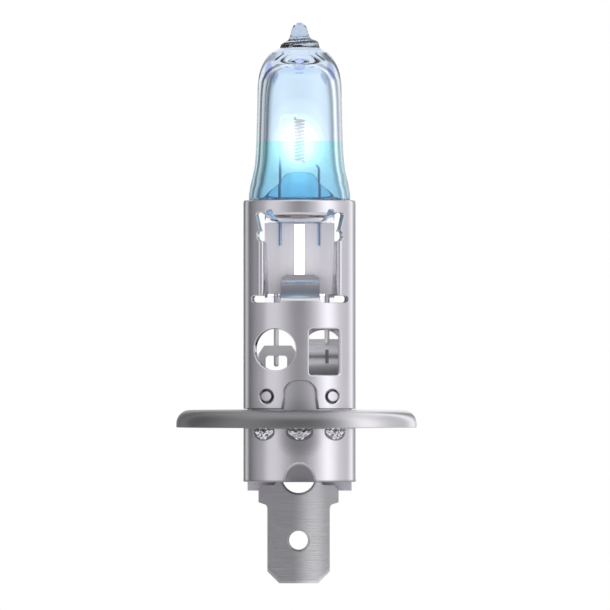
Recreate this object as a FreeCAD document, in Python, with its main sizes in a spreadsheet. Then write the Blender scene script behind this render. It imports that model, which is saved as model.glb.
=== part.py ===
import FreeCAD, Part
import math
import os

import Sketcher

# Halogen headlight bulb with a pre-focused flange and one blade terminal.
# The lamp axis is Z, pointing to the glass tip. Z = 0 is the flange's upper
# face, the plane a headlamp locates it by. The blade's broad face looks to -Y.

os.makedirs("parts", exist_ok=True)
doc = FreeCAD.newDocument("HeadlightBulb")
dims = doc.addObject("Spreadsheet::Sheet", "Dims")

SIZES = {
    # glass capsule
    "glass_radius": 5.10, "glass_foot": 20.95, "glass_foot_drop": 1.25, "glass_top": 39.14,
    "cavity_foot": 21.9, "cavity_dome": 23.9, "cavity_top": 35.3,
    "pinch_width": 7.04, "pinch_thick": 3.2, "pinch_foot": 10.4, "pinch_head": 20.6,
    # molybdenum foils in the pinch
    "foil_width": 2.74, "foil_foot": 11.69, "foil_head": 18.96, "foil_thick": 0.04,
    "foil_middle": 1.86, "seal_gap": 0.01,
    # wires inside and outside the capsule
    "inner_wire_radius": 0.13, "outer_wire_radius": 0.25, "inner_wire_foot": 16.6,
    "inner_wire_side": 1.95, "long_wire_head": 29.72, "short_wire_head": 24.76,
    "wire_bend": 0.55, "outer_wire_head": 13.5,
    "ground_wire_side": 2.35, "ground_wire_foot": 4.39,
    "live_wire_side": 2.77, "live_wire_foot": 6.64,
    # filament
    "coil_foot": 25.12, "coil_head": 29.36, "coil_radius": 0.46, "coil_wire": 0.10,
    "coil_turns": 12.45, "coil_tail": 0.45,
    # barrel that clamps the pinch
    "barrel_radius": 5.69, "wall": 0.40, "barrel_foot": 0.12, "barrel_head": 21.10,
    "barrel_lip": 0.26, "window_shift": 0.06,
    # collar inside the barrel, shell under the flange
    "collar_radius": 5.28, "collar_foot": -3.40, "collar_head": 3.35,
    "spot_radius": 0.525, "spot_ring": 0.72, "spot_side": 3.35, "spot_level": 1.38,
    "shell_foot": -7.25,
    # locating flange
    "flange_radius": 12.45, "flange_flat": 11.80, "flange_depth": 1.77,
    "flange_sheet": 0.60, "flange_round": 1.38, "hub_radius": 6.30,
    "seat_radius": 5.95, "seat_depth": 0.10,
    # weld beads between flange and shell
    "bead_angle": 40.0, "bead_level": -2.36, "bead_ball": 0.36,
    # insulator
    "insulator_head": -2.10, "insulator_foot": -8.15, "insulator_radius": 5.27,
    "channel_width": 3.6, "blade_play": 0.02,
    # blade terminal
    "blade_width": 6.30, "blade_thick": 0.80, "blade_foot": -17.50, "blade_centre": -0.10,
    "blade_corner": 1.20, "blade_bevel": 0.26, "shoulder_width": 8.09,
    "shoulder_head": -7.59, "shoulder_foot": -9.30, "neck_width": 4.60, "neck_head": -4.60,
    "tenon_width": 1.60, "tenon_head": -1.20, "detent_radius": 0.95, "detent_ring": 1.17,
    "detent_level": -13.15, "lock_hole_radius": 1.65, "lock_hole_level": -6.73,
    # live lug and ground bracket
    "lug_left": 0.78, "lug_right": 4.32, "lug_face": 0.53, "lug_head": 7.16,
    "lug_foot": -2.10, "lug_sheet": 0.40, "lug_groove": 0.16, "bracket_thick": 0.45, "bracket_head": 6.51,
}
for row, (alias, size) in enumerate(SIZES.items(), start=1):
    dims.set(f"A{row}", alias)
    dims.set(f"B{row}", str(size))
    dims.setAlias(f"B{row}", alias)
doc.recompute()


def size_of(alias):
    return float(dims.get(alias))


def sheet(alias):
    """The expression that reads one size from the spreadsheet."""
    return f"Dims.{alias}"


# ---------------------------------------------------------------- sketches

def rounded(corners):
    """Lines and tangent arcs of a closed outline; a corner is (a, b) or (a, b, radius)."""
    pieces, starts, ends = [], [], []
    count = len(corners)
    for i, corner in enumerate(corners):
        here = FreeCAD.Vector(corner[0], corner[1], 0)
        before = FreeCAD.Vector(*corners[i - 1][:2], 0)
        after = FreeCAD.Vector(*corners[(i + 1) % count][:2], 0)
        radius = corner[2] if len(corner) > 2 else 0
        if not radius:
            starts.append(here)
            ends.append(here)
            continue
        to_before = (before - here).normalize()
        to_after = (after - here).normalize()
        half = to_before.getAngle(to_after) / 2
        run = radius / math.tan(half)
        enter, leave = here + to_before * run, here + to_after * run
        centre = here + (to_before + to_after).normalize() * (radius / math.sin(half))
        middle = centre + (here - centre).normalize() * radius
        pieces.append(Part.Arc(enter, middle, leave))
        starts.append(enter)
        ends.append(leave)
    for i in range(count):
        a, b = ends[i], starts[(i + 1) % count]
        if a.distanceToPoint(b) > 1e-6:
            pieces.append(Part.LineSegment(a, b))
    return pieces


def line(a, b):
    return Part.LineSegment(FreeCAD.Vector(*a, 0), FreeCAD.Vector(*b, 0))


def curve(points):
    """A smooth curve through the points."""
    spline = Part.BSplineCurve()
    spline.interpolate([FreeCAD.Vector(*p, 0) for p in points])
    return spline


def circle(a, b, radius):
    return Part.Circle(FreeCAD.Vector(a, b, 0), FreeCAD.Vector(0, 0, 1), radius)


TURNS = {  # sketch plane: axis and angle that turn XY into it
    "XY_Plane": (FreeCAD.Vector(0, 0, 1), 0),
    "XZ_Plane": (FreeCAD.Vector(1, 0, 0), 90),
    "YZ_Plane": (FreeCAD.Vector(1, 1, 1), 120),
}


def draw(sketch, geometry):
    for piece in geometry:
        sketch.addGeometry(piece, False)
    return sketch


def free_sketch(name, plane, geometry):
    """A sketch outside any body, standing in one of the three base planes."""
    sketch = doc.addObject("Sketcher::SketchObject", name)
    sketch.Placement = FreeCAD.Placement(FreeCAD.Vector(), FreeCAD.Rotation(*TURNS[plane]))
    return draw(sketch, geometry)


def body_sketch(body, name, plane, geometry, level=None):
    """A sketch on one of the body's own base planes, raised to level along its normal."""
    sketch = body.newObject("Sketcher::SketchObject", name)
    support = next(o for o in body.Origin.OriginFeatures if o.Role == plane)
    sketch.AttachmentSupport = [(support, "")]
    sketch.MapMode = "FlatFace"
    if level:
        sketch.setExpression("AttachmentOffset.Base.z", level)
    return draw(sketch, geometry)


# ---------------------------------------------------------------- PartDesign features

def new_body(name):
    return doc.addObject("PartDesign::Body", name)


def feature(body, kind, name, profile, **settings):
    item = body.newObject(f"PartDesign::{kind}", name)
    item.Profile = profile
    for key, setting in settings.items():
        if isinstance(setting, str) and key in ("Length", "Angle", "Length2"):
            item.setExpression(key, setting)
        else:
            setattr(item, key, setting)
    body.Tip = item
    doc.recompute()
    return item


def revolve(body, name, profile, kind="Revolution"):
    return feature(body, kind, name, profile, ReferenceAxis=(profile, ["V_Axis"]), Angle=360.0)


# ---------------------------------------------------------------- Part features

def cylinder(name, radius, foot, head):
    """An upright cylinder between two levels; radius, foot and head are expressions."""
    item = doc.addObject("Part::Cylinder", name)
    item.setExpression("Radius", radius)
    item.setExpression("Height", f"({head}) - ({foot})")
    item.setExpression("Placement.Base.z", foot)
    return item


def block(name, x, y, z):
    """A box between two expressions along each axis."""
    item = doc.addObject("Part::Box", name)
    for (low, high), side, axis in zip((x, y, z), ("Length", "Width", "Height"), "xyz"):
        item.setExpression(side, f"({high}) - ({low})")
        item.setExpression(f"Placement.Base.{axis}", low)
    return item


def cut(name, base, tool):
    item = doc.addObject("Part::Cut", name)
    item.Base, item.Tool = base, tool
    return item


def fuse(name, *shapes):
    item = doc.addObject("Part::MultiFuse", name)
    item.Shapes = list(shapes)
    return item


def common(name, *shapes):
    item = doc.addObject("Part::MultiCommon", name)
    item.Shapes = list(shapes)
    return item


def extrude(name, sketch, direction, length, both_ways=False):
    item = doc.addObject("Part::Extrusion", name)
    item.Base = sketch
    item.DirMode = "Custom"
    item.Dir = FreeCAD.Vector(*direction)
    item.LengthFwd = length
    item.Symmetric = both_ways
    item.Solid = True
    return item


def turned(name, sketch, angle=360.0):
    item = doc.addObject("Part::Revolution", name)
    item.Source = sketch
    item.Axis = FreeCAD.Vector(0, 0, 1)
    item.Angle = angle
    item.Symmetric = angle < 360
    item.Solid = True
    return item


def half_turned(name, source):
    """The same shape on the opposite side of the lamp axis."""
    item = doc.addObject("Part::Feature", name)
    item.Shape = source.Shape.copy()
    item.Placement = FreeCAD.Placement(
        FreeCAD.Vector(), FreeCAD.Rotation(FreeCAD.Vector(0, 0, 1), 180)).multiply(source.Placement)
    return item


NODES = []


def node(item, label):
    item.Label = label
    NODES.append(item)
    return item


# ---------------------------------------------------------------- glass capsule

def make_glass():
    body = new_body("Glass")
    radius, foot, top = size_of("glass_radius"), size_of("glass_foot"), size_of("glass_top")
    drop = size_of("glass_foot_drop")
    tip_foot = top - 2.02
    flank = [(radius, foot + 0.9), (4.86, 23.2), (4.60, 24.3), (4.42, 26.2), (4.32, 29.3),
             (4.25, 32.3), (4.17, 33.4), (3.93, 34.5), (3.48, 35.4), (2.95, 36.05),
             (2.35, 36.42), (1.96, 36.72), (1.90, tip_foot)]
    nipple = [(1.90, tip_foot), (1.72, 37.42), (1.25, 37.70), (0.98, 38.0), (0.84, 38.4),
              (0.62, 38.80), (0.30, top - 0.06), (0.0, top)]
    underside = Part.Arc(
        FreeCAD.Vector(0, foot - drop, 0),
        FreeCAD.Vector(radius * 0.64, foot - drop * 0.80, 0),
        FreeCAD.Vector(radius, foot, 0))
    outline = body_sketch(body, "GlassOutline", "XZ_Plane", [
        underside, line((radius, foot), flank[0]), curve(flank), curve(nipple),
        line((0, top), (0, foot - drop))])
    revolve(body, "Blown", outline)
    half, low, high = size_of("pinch_width") / 2, size_of("pinch_foot"), size_of("pinch_head")
    press = body_sketch(body, "PinchOutline", "XZ_Plane", rounded(
        [(-half, high), (-half, low, 0.6), (half, low, 0.6), (half, high)]))
    feature(body, "Pad", "Pinch", press, Length=sheet("pinch_thick"), Midplane=True)
    floor, dome, roof = size_of("cavity_foot"), size_of("cavity_dome"), size_of("cavity_top")
    lower = [(0, dome), (1.3, dome - 0.22), (2.6, dome - 0.95), (3.5, floor + 0.25),
             (3.95, floor), (4.12, floor + 0.35)]
    wall = [(4.12, floor + 0.35), (3.98, 23.2), (3.74, 24.4), (3.55, 26.2), (3.46, 29.3),
            (3.38, 32.0), (3.10, 33.6), (2.45, 34.6), (1.35, 35.12), (0, roof)]
    hollow = body_sketch(body, "CavityOutline", "XZ_Plane", [
        curve(lower), curve(wall), line((0, roof), (0, dome))])
    revolve(body, "Cavity", hollow, "Groove")
    gap = size_of("seal_gap")
    middle, across = size_of("foil_middle"), size_of("foil_width") / 2 + gap
    below, above = size_of("foil_foot") - gap, size_of("foil_head") + gap
    pockets = []
    for side in (-1, 1):
        left, right = side * middle - across, side * middle + across
        pockets += rounded([(left, below), (right, below), (right, above), (left, above)])
    seal = body_sketch(body, "FoilSeals", "XZ_Plane", pockets)
    feature(body, "Pocket", "FoilSlots", seal, Length="Dims.foil_thick + 2 * Dims.seal_gap",
            Midplane=True)
    inner_radius = size_of("inner_wire_radius") + gap
    offset = wire_offset("inner_wire_radius")
    inner = body_sketch(body, "InnerWireSeals", "XY_Plane", [
        circle(side * size_of("inner_wire_side"), -offset, inner_radius) for side in (-1, 1)],
        level="Dims.inner_wire_foot - Dims.seal_gap")
    feature(body, "Pocket", "InnerWireBores", inner, Reversed=True,
            Length="Dims.cavity_dome - Dims.inner_wire_foot + 0.2")
    outer_radius = size_of("outer_wire_radius") + gap
    offset = wire_offset("outer_wire_radius")
    outer = body_sketch(body, "OuterWireSeals", "XY_Plane", [
        circle(-size_of("ground_wire_side"), offset, outer_radius),
        circle(size_of("live_wire_side"), offset, outer_radius)],
        level="Dims.outer_wire_head + Dims.seal_gap")
    feature(body, "Pocket", "OuterWireBores", outer,
            Length="Dims.outer_wire_head - Dims.pinch_foot + 0.5")
    return node(body, "glass_capsule")


def wire_offset(radius_alias):
    """How far a wire's axis stands off the foil's middle plane when it lies on the foil."""
    return size_of("foil_thick") / 2 + size_of(radius_alias)


# ---------------------------------------------------------------- foils and wires

def make_foils():
    for side, name in ((-1, "ground_foil"), (1, "live_foil")):
        foil = doc.addObject("Part::Box", "Foil" + name[:4].title())
        foil.setExpression("Length", "Dims.foil_width")
        foil.setExpression("Width", "Dims.foil_thick")
        foil.setExpression("Height", "Dims.foil_head - Dims.foil_foot")
        foil.setExpression("Placement.Base.x",
                           f"{side} * Dims.foil_middle - Dims.foil_width / 2")
        foil.setExpression("Placement.Base.y", "-Dims.foil_thick / 2")
        foil.setExpression("Placement.Base.z", "Dims.foil_foot")
        node(foil, name)


def make_inner_wires():
    """Two upright support wires, each bent over to meet one end of the filament."""
    foot, side = size_of("inner_wire_foot"), size_of("inner_wire_side")
    bend = size_of("wire_bend")
    for sign, name, head in ((-1, "long_inner_wire", "long_wire_head"),
                             (1, "short_inner_wire", "short_wire_head")):
        top, reach = size_of(head), 0.22
        x0, x1, x2 = sign * side, sign * (side - bend), sign * reach
        slant = bend * (1 - math.sqrt(0.5))
        path = free_sketch("Path" + name[:5].title(), "XZ_Plane", [
            line((x0, foot), (x0, top - bend)),
            Part.Arc(FreeCAD.Vector(x0, top - bend, 0),
                     FreeCAD.Vector(sign * (side - slant), top - slant, 0),
                     FreeCAD.Vector(x1, top, 0)),
            line((x1, top), (x2, top))])
        ring = doc.addObject("Part::Circle", "Ring" + name[:5].title())
        ring.setExpression("Radius", "Dims.inner_wire_radius")
        ring.Placement.Base = FreeCAD.Vector(x0, 0, foot)
        doc.recompute()
        wire = doc.addObject("Part::Sweep", "Wire" + name[:5].title())
        wire.Sections = [ring]
        wire.Spine = (path, ["Edge1", "Edge2", "Edge3"])
        wire.Solid = True
        wire.setExpression("Placement.Base.y",
                           "-Dims.foil_thick / 2 - Dims.inner_wire_radius")
        doc.recompute()
        node(wire, name)


def make_outer_wires():
    """Two straight wires with rounded lower ends, lying against the back of the foils."""
    radius, head = size_of("outer_wire_radius"), size_of("outer_wire_head")
    for name, side, foot in (("ground_outer_wire", "-Dims.ground_wire_side", "ground_wire_foot"),
                             ("live_outer_wire", "Dims.live_wire_side", "live_wire_foot")):
        tag = name.split("_")[0].title()
        body = new_body("Wire" + tag)
        low = size_of(foot)
        profile = body_sketch(body, "WireSection" + tag, "XZ_Plane", rounded(
            [(0, low), (radius, low, radius * 0.8), (radius, head), (0, head)]))
        revolve(body, "WireRod" + tag, profile)
        body.setExpression("Placement.Base.x", side)
        body.setExpression("Placement.Base.y", "Dims.foil_thick / 2 + Dims.outer_wire_radius")
        node(body, name)


def make_filament():
    """A single-coil filament with an upright tail at each end, beside the support wires."""
    foot, head = size_of("coil_foot"), size_of("coil_head")
    radius, thread = size_of("coil_radius"), size_of("coil_wire")
    turns = size_of("coil_turns")
    lift = wire_offset("inner_wire_radius") - size_of("inner_wire_radius") - thread
    start = math.degrees(math.asin(-lift / radius))
    helix = doc.addObject("Part::Helix", "CoilPath")
    helix.setExpression("Radius", "Dims.coil_radius")
    helix.setExpression("Height", "Dims.coil_head - Dims.coil_foot")
    helix.setExpression("Pitch", "(Dims.coil_head - Dims.coil_foot) / Dims.coil_turns")
    helix.setExpression("Placement.Base.z", "Dims.coil_foot")
    helix.Placement.Rotation = FreeCAD.Rotation(FreeCAD.Vector(0, 0, 1), start)
    ring = doc.addObject("Part::Circle", "CoilSection")
    ring.setExpression("Radius", "Dims.coil_wire")
    turn = FreeCAD.Rotation(FreeCAD.Vector(0, 0, 1), start)
    ring.Placement = FreeCAD.Placement(
        turn.multVec(FreeCAD.Vector(radius, 0, 0)) + FreeCAD.Vector(0, 0, foot),
        turn.multiply(FreeCAD.Rotation(FreeCAD.Vector(1, 0, 0), 90)))
    doc.recompute()
    coil = doc.addObject("Part::Sweep", "Coil")
    coil.Sections = [ring]
    coil.Spine = (helix, ["Edge%d" % (i + 1) for i in range(len(helix.Shape.Edges))])
    coil.Solid, coil.Frenet = True, True
    pieces = [coil]
    tail = size_of("coil_tail")
    for name, level, angle, way in (("Lower", foot, start, -1),
                                    ("Upper", head, start + 360 * turns, 1)):
        place = FreeCAD.Vector(radius * math.cos(math.radians(angle)),
                               radius * math.sin(math.radians(angle)), level)
        knee = doc.addObject("Part::Sphere", name + "Knee")
        knee.setExpression("Radius", "Dims.coil_wire * 1.12")
        knee.Placement.Base = place
        leg = doc.addObject("Part::Cylinder", name + "Tail")
        leg.setExpression("Radius", "Dims.coil_wire")
        leg.setExpression("Height", "Dims.coil_tail")
        leg.Placement.Base = place + FreeCAD.Vector(0, 0, -tail if way < 0 else 0)
        pieces += [knee, leg]
    doc.recompute()
    return node(fuse("Filament", *pieces), "filament_coil")


# ---------------------------------------------------------------- barrel

def window_outline(centre):
    """The big opening that lets the pinch be seen, with the stock of its tabs cut away."""
    left_half = [(-2.04, 11.25), (-2.04, 10.85, 0.22), (-4.92, 10.85, 0.33),
                 (-4.92, 11.53, 0.33), (-4.07, 11.53), (-4.07, 17.08), (-4.37, 17.08, 0.40),
                 (-4.37, 18.08, 0.40), (-4.05, 18.08), (-4.52, 19.95, 0.25),
                 (-3.45, 19.85), (-3.40, 20.22, 0.28), (-2.80, 20.22, 0.28), (-2.80, 19.98)]
    corners = [(x + centre, z, *rest) for x, z, *rest in left_half]
    corners += [(centre - x, z, *rest) for x, z, *rest in reversed(left_half)]
    return rounded(corners)


def make_barrel():
    centre = size_of("window_shift")
    radius, wall = size_of("barrel_radius"), size_of("wall")
    foot, head, lip = size_of("barrel_foot"), size_of("barrel_head"), size_of("barrel_lip")
    bore = radius - wall
    section = free_sketch("BarrelSection", "XZ_Plane", rounded(
        [(bore, foot), (radius, foot), (radius, head, lip), (bore, head, 0.1)]))
    tube = turned("BarrelTube", section)
    window = extrude("BarrelWindow", free_sketch("WindowOutline", "XZ_Plane",
                     window_outline(centre)), (0, -1, 0), 8)
    round_hole = extrude("RoundHole", free_sketch("RoundHoleOutline", "XZ_Plane",
                         [circle(-2.49, 6.10, 2.10)]), (0, -1, 0), 8)
    lug_hole = extrude("LugHole", free_sketch("LugHoleOutline", "XZ_Plane", rounded(
        [(0.99, 3.55, 0.3), (4.09, 3.55, 0.3), (4.09, 8.16, 0.3), (0.99, 8.16, 0.3)])),
        (0, -1, 0), 8)
    arch = extrude("FootArch", free_sketch("FootArchOutline", "XZ_Plane", rounded(
        [(-1.90, foot - 0.3), (-1.86, foot + 0.02, 0.15), (-1.66, 0.75, 0.9),
         (-1.66, 2.98, 1.45), (1.78, 2.98, 1.45), (1.78, 0.75, 0.9),
         (1.98, foot + 0.02, 0.15), (2.02, foot - 0.3)])), (0, -1, 0), 8)
    back_round = extrude("BackRoundHole", free_sketch("BackRoundOutline", "XZ_Plane",
                         [circle(2.49, 5.86, 2.20)]), (0, 1, 0), 8)
    back_lug = extrude("BackLugHole", free_sketch("BackLugOutline", "XZ_Plane", rounded(
        [(-4.75, 3.40, 0.3), (-0.35, 3.40, 0.3), (-0.35, 8.30, 0.3), (-4.75, 8.30, 0.3)])),
        (0, 1, 0), 8)
    doc.recompute()
    back_window = half_turned("BackWindow", window)
    back_arch = half_turned("BackFootArch", arch)
    cutters = [window, round_hole, lug_hole, arch, back_round, back_lug, back_window, back_arch]
    side, level = size_of("spot_side"), size_of("spot_level")
    ring_depth = 0.22
    for x in (-side, side):
        for way in (-1, 1):
            tag = f"{'Left' if x < 0 else 'Right'}{'Front' if way < 0 else 'Back'}"
            cutters.append(extrude("SpotHole" + tag, free_sketch(
                "SpotHoleOutline" + tag, "XZ_Plane",
                [circle(x, level, size_of("spot_radius"))]), (0, way, 0), 8))
            groove = extrude("SpotRing" + tag, free_sketch(
                "SpotRingOutline" + tag, "XZ_Plane",
                [circle(x, level, size_of("spot_ring"))]), (0, way, 0), 8)
            core = cylinder("SpotCore" + tag, f"Dims.barrel_radius - {ring_depth}",
                            "0", "3")
            cutters.append(cut("SpotGroove" + tag, groove, core))
    doc.recompute()
    cut_tube = cut("BarrelCut", tube, fuse("BarrelCutters", *cutters))
    # upper tab: the wall rolled inward and down over the top of the pinch
    upper = free_sketch("UpperTabSection", "YZ_Plane", [
        line((-radius, 20.30), (-bore, 20.30)), line((-bore, 20.30), (-bore, 19.98)),
        curve([(-bore, 19.98), (-bore + 0.06, 19.62), (-bore + 0.26, 19.30),
               (-bore + 0.52, 19.10)]),
        line((-bore + 0.52, 19.10), (-bore + 0.30, 18.99)),
        curve([(-bore + 0.30, 18.99), (-radius + 0.24, 19.28), (-radius + 0.06, 19.62),
               (-radius, 19.98)]),
        line((-radius, 19.98), (-radius, 20.30))])
    upper_tab = turned("UpperTabStrip", upper, 2 * math.degrees(math.asin(2.75 / radius)))
    corner_cut = extrude("UpperTabCorners", free_sketch("UpperTabOutline", "XZ_Plane", rounded(
        [(-2.78 + centre, 20.4), (-2.74 + centre, 19.8), (-2.36 + centre, 18.9, 0.55),
         (2.36 + centre, 18.9, 0.55), (2.74 + centre, 19.8), (2.78 + centre, 20.4)])),
        (0, -1, 0), 8)
    upper_tab = common("UpperTab", upper_tab, corner_cut)
    # lower tab: cranked inward from the round of the wall to the flat of the pinch
    grip = size_of("pinch_thick") / 2 + 0.02
    mid, crank_foot, crank_rise, side = radius - wall / 2, 10.7, 2.7, 2.4
    levels = (10.62, 10.95, 11.3, 11.7, 12.05, 12.4, 12.8, 13.15, 13.45, 13.8)
    sections = []
    for i, level in enumerate(levels):
        step = min(1.0, max(0.0, (level - crank_foot) / crank_rise))
        blend = step * step * (3 - 2 * step)
        slope = 6 * step * (1 - step) / crank_rise * (mid - grip - wall / 2)
        half = wall / 2 * math.sqrt(1 + slope ** 2) - (0.04 if i < 2 else 0)

        def wall_at(x, way):
            round_wall = math.sqrt(mid ** 2 - x ** 2)
            flat_wall = grip + wall / 2 + 0.01 * (1 - (x / side) ** 2)
            return (x, -((1 - blend) * round_wall + blend * flat_wall) + way * half)

        corners = [(wall_at(-side, way), wall_at(0, way), wall_at(side, way))
                   for way in (-1, 1)]
        arcs = [Part.Arc(*(FreeCAD.Vector(*point, 0) for point in three)) for three in corners]
        ring = free_sketch(f"LowerTabSection{i}", "XY_Plane", arcs + [
            line(corners[0][0], corners[1][0]), line(corners[0][2], corners[1][2])])
        ring.Placement.Base.z = level
        sections.append(ring)
    doc.recompute()
    lower_strip = doc.addObject("Part::Loft", "LowerTabStrip")
    lower_strip.Sections, lower_strip.Solid, lower_strip.Ruled = sections, True, False
    doc.recompute()
    lower_trim = extrude("LowerTabTrim", free_sketch("LowerTabOutline", "XZ_Plane", rounded(
        [(-2.04 + centre, 10.55), (-2.04 + centre, 13.69, 0.7), (2.04 + centre, 13.69, 0.7),
         (2.04 + centre, 10.55)])), (0, -1, 0), 8)
    lower_tab = common("LowerTab", lower_strip, lower_trim)
    # side tongues: bent in about an upright line until they reach the pinch
    parts = [upper_tab, lower_tab]
    bend, tip, root = 4.07, 3.30, 4.37
    for sign, tag in ((-1, "Left"), (1, "Right")):
        def at(x, y):
            return (sign * x + centre, y)
        outer_root = at(root, -math.sqrt(radius ** 2 - root ** 2) + 0.02)
        inner_root = at(root, -math.sqrt(bore ** 2 - root ** 2) - 0.02)
        elbow, heel, toe = at(bend - 0.10, -2.80), at(tip, -grip), at(tip - 0.16, -grip - 0.36)
        shin = at(bend - 0.46, -3.05)
        tongue_plan = free_sketch("TonguePlan" + tag, "XY_Plane", [
            line(outer_root, inner_root), line(inner_root, elbow), line(elbow, heel),
            line(heel, toe), line(toe, shin),
            curve([shin, at(bend - 0.22, -3.72),
                   at(bend + 0.02, -math.sqrt(radius ** 2 - bend ** 2) + 0.04), outer_root])])
        tongue = extrude("Tongue" + tag, tongue_plan, (0, 0, 1), 17.05)
        limits = extrude("TongueLimits" + tag, free_sketch("TongueOutline" + tag, "XZ_Plane",
                         rounded([(sign * 4.60 + centre, 11.53), (sign * 3.14 + centre, 11.53, 0.2),
                                  (sign * 3.34 + centre, 17.05, 0.3),
                                  (sign * 4.60 + centre, 17.05)])), (0, -1, 0), 8)
        parts.append(common("SideTongue" + tag, tongue, limits))
    doc.recompute()
    for item in list(parts):
        parts.append(half_turned(item.Name + "Back", item))
    doc.recompute()
    return node(fuse("Barrel", cut_tube, *parts), "clamp_barrel")


# ---------------------------------------------------------------- collar, welds and shell

def spot_pins(name, radius, inner, outer):
    """Four short radial plugs at the spot-weld places, between two radii."""
    side, level = size_of("spot_side"), size_of("spot_level")
    ring = cut(name + "Ring", cylinder(name + "Outer", outer, "0", "3"),
               cylinder(name + "Inner", inner, "-1", "4"))
    plugs = []
    for tag, x in (("Left", -side), ("Right", side)):
        bar = extrude(f"{name}Bar{tag}", free_sketch(
            f"{name}Outline{tag}", "XZ_Plane", [circle(x, level, radius)]),
            (0, 1, 0), 12, both_ways=True)
        plugs.append(bar)
    return common(name, fuse(name + "Bars", *plugs), ring)


def make_collar():
    tube = cut("CollarTube",
               cylinder("CollarOuter", "Dims.collar_radius", "Dims.collar_foot",
                        "Dims.collar_head"),
               cylinder("CollarInner", "Dims.collar_radius - Dims.wall",
                        "Dims.collar_foot - 1", "Dims.collar_head + 1"))
    holes = spot_pins("CollarHoles", size_of("spot_radius"), "Dims.collar_radius - 1",
                      "Dims.collar_radius + 1")
    node(cut("Collar", tube, holes), "inner_collar")
    node(spot_pins("SpotWelds", size_of("spot_radius"), "Dims.collar_radius - Dims.wall",
                   "Dims.barrel_radius - 0.06"), "collar_spot_welds")


def make_shell():
    """The base shell, with a dent front and back that keys into the insulator."""
    outer = cylinder("ShellOuter", "Dims.barrel_radius", "Dims.shell_foot",
                     "-Dims.flange_depth")
    inner = cylinder("ShellInner", "Dims.barrel_radius - Dims.wall", "Dims.shell_foot - 1",
                     "-Dims.flange_depth + 1")
    hull = cylinder("DentLimit", "Dims.barrel_radius - Dims.wall / 2", "Dims.shell_foot",
                    "-Dims.flange_depth - 1")
    lumps, dents = [], []
    for tag, way in (("Front", -1), ("Back", 1)):
        for kind, extra, store in (("Lump", 0.40, lumps), ("Dent", 0.0, dents)):
            egg = doc.addObject("Part::Ellipsoid", kind + tag)
            egg.Radius2 = 1.67 + extra
            egg.Radius1 = 2.02 + extra
            egg.Radius3 = 0.95 + extra
            egg.Placement.Base = FreeCAD.Vector(0, 0, 0)
            egg.setExpression("Placement.Base.y", f"{way} * (Dims.barrel_radius + 0.12)")
            egg.setExpression("Placement.Base.z", "Dims.shell_foot - 0.02")
            store.append(egg)
    doc.recompute()
    thick = fuse("ShellWithLumps", cut("ShellTube", outer, inner),
                 common("ShellLumps", fuse("ShellEggs", *lumps), hull))
    return node(cut("Shell", thick, fuse("ShellDents", *dents)), "base_shell")


def make_tack_welds():
    """Six tack welds under the flange, each a ball in a crater with splashed sides."""
    radius, level = size_of("barrel_radius"), size_of("bead_level")
    ceiling = -size_of("flange_depth")
    limit = Part.makeCylinder(radius, 12, FreeCAD.Vector(0, 0, -8))
    roof = Part.makeBox(20, 20, 10, FreeCAD.Vector(-10, -10, ceiling))
    out = FreeCAD.Vector(0, -1, 0)
    ball = Part.makeSphere(size_of("bead_ball"), FreeCAD.Vector(0, -radius - 0.10, level))
    crater = Part.makeTorus(0.50, 0.12, FreeCAD.Vector(0, -radius - 0.02, level), out)
    pad = Part.makeCylinder(0.50, 0.55, FreeCAD.Vector(0, -radius + 0.45, level), out)
    bead = ball.fuse([crater, pad])
    for sign in (-1, 1):
        for reach, drop, lean in ((0.52, -0.02, 18), (0.86, 0.20, 34), (1.12, 0.36, 50)):
            petal = Part.makeBox(0.34, 0.62, 0.86)
            petal.translate(FreeCAD.Vector(-0.17, -0.31, -0.43))
            petal.rotate(FreeCAD.Vector(), out, sign * lean)
            petal.translate(FreeCAD.Vector(sign * reach, -radius + 0.14, level + drop + 0.22))
            bead = bead.fuse(petal)
    bead = bead.cut([limit, roof]).removeSplitter()
    group = []
    for start in (0, 180):
        for step in (-1, 0, 1):
            copy = bead.copy()
            copy.rotate(FreeCAD.Vector(), FreeCAD.Vector(0, 0, 1),
                        start + step * size_of("bead_angle"))
            group += copy.Solids
    welds = doc.addObject("Part::Feature", "TackWelds")
    welds.Shape = Part.makeCompound(group)
    welds.Placement = FreeCAD.Placement()
    return node(welds, "flange_tack_welds")


# ---------------------------------------------------------------- flange

def flange_outline(inset):
    """The flange's round edge with its one flat, drawn in by inset."""
    radius, flat = size_of("flange_radius") - inset, size_of("flange_flat") - inset
    reach = math.sqrt(radius ** 2 - flat ** 2)
    arc = Part.Arc(FreeCAD.Vector(flat, reach, 0), FreeCAD.Vector(-radius, 0, 0),
                   FreeCAD.Vector(flat, -reach, 0))
    return [arc, line((flat, -reach), (flat, reach))]


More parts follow.
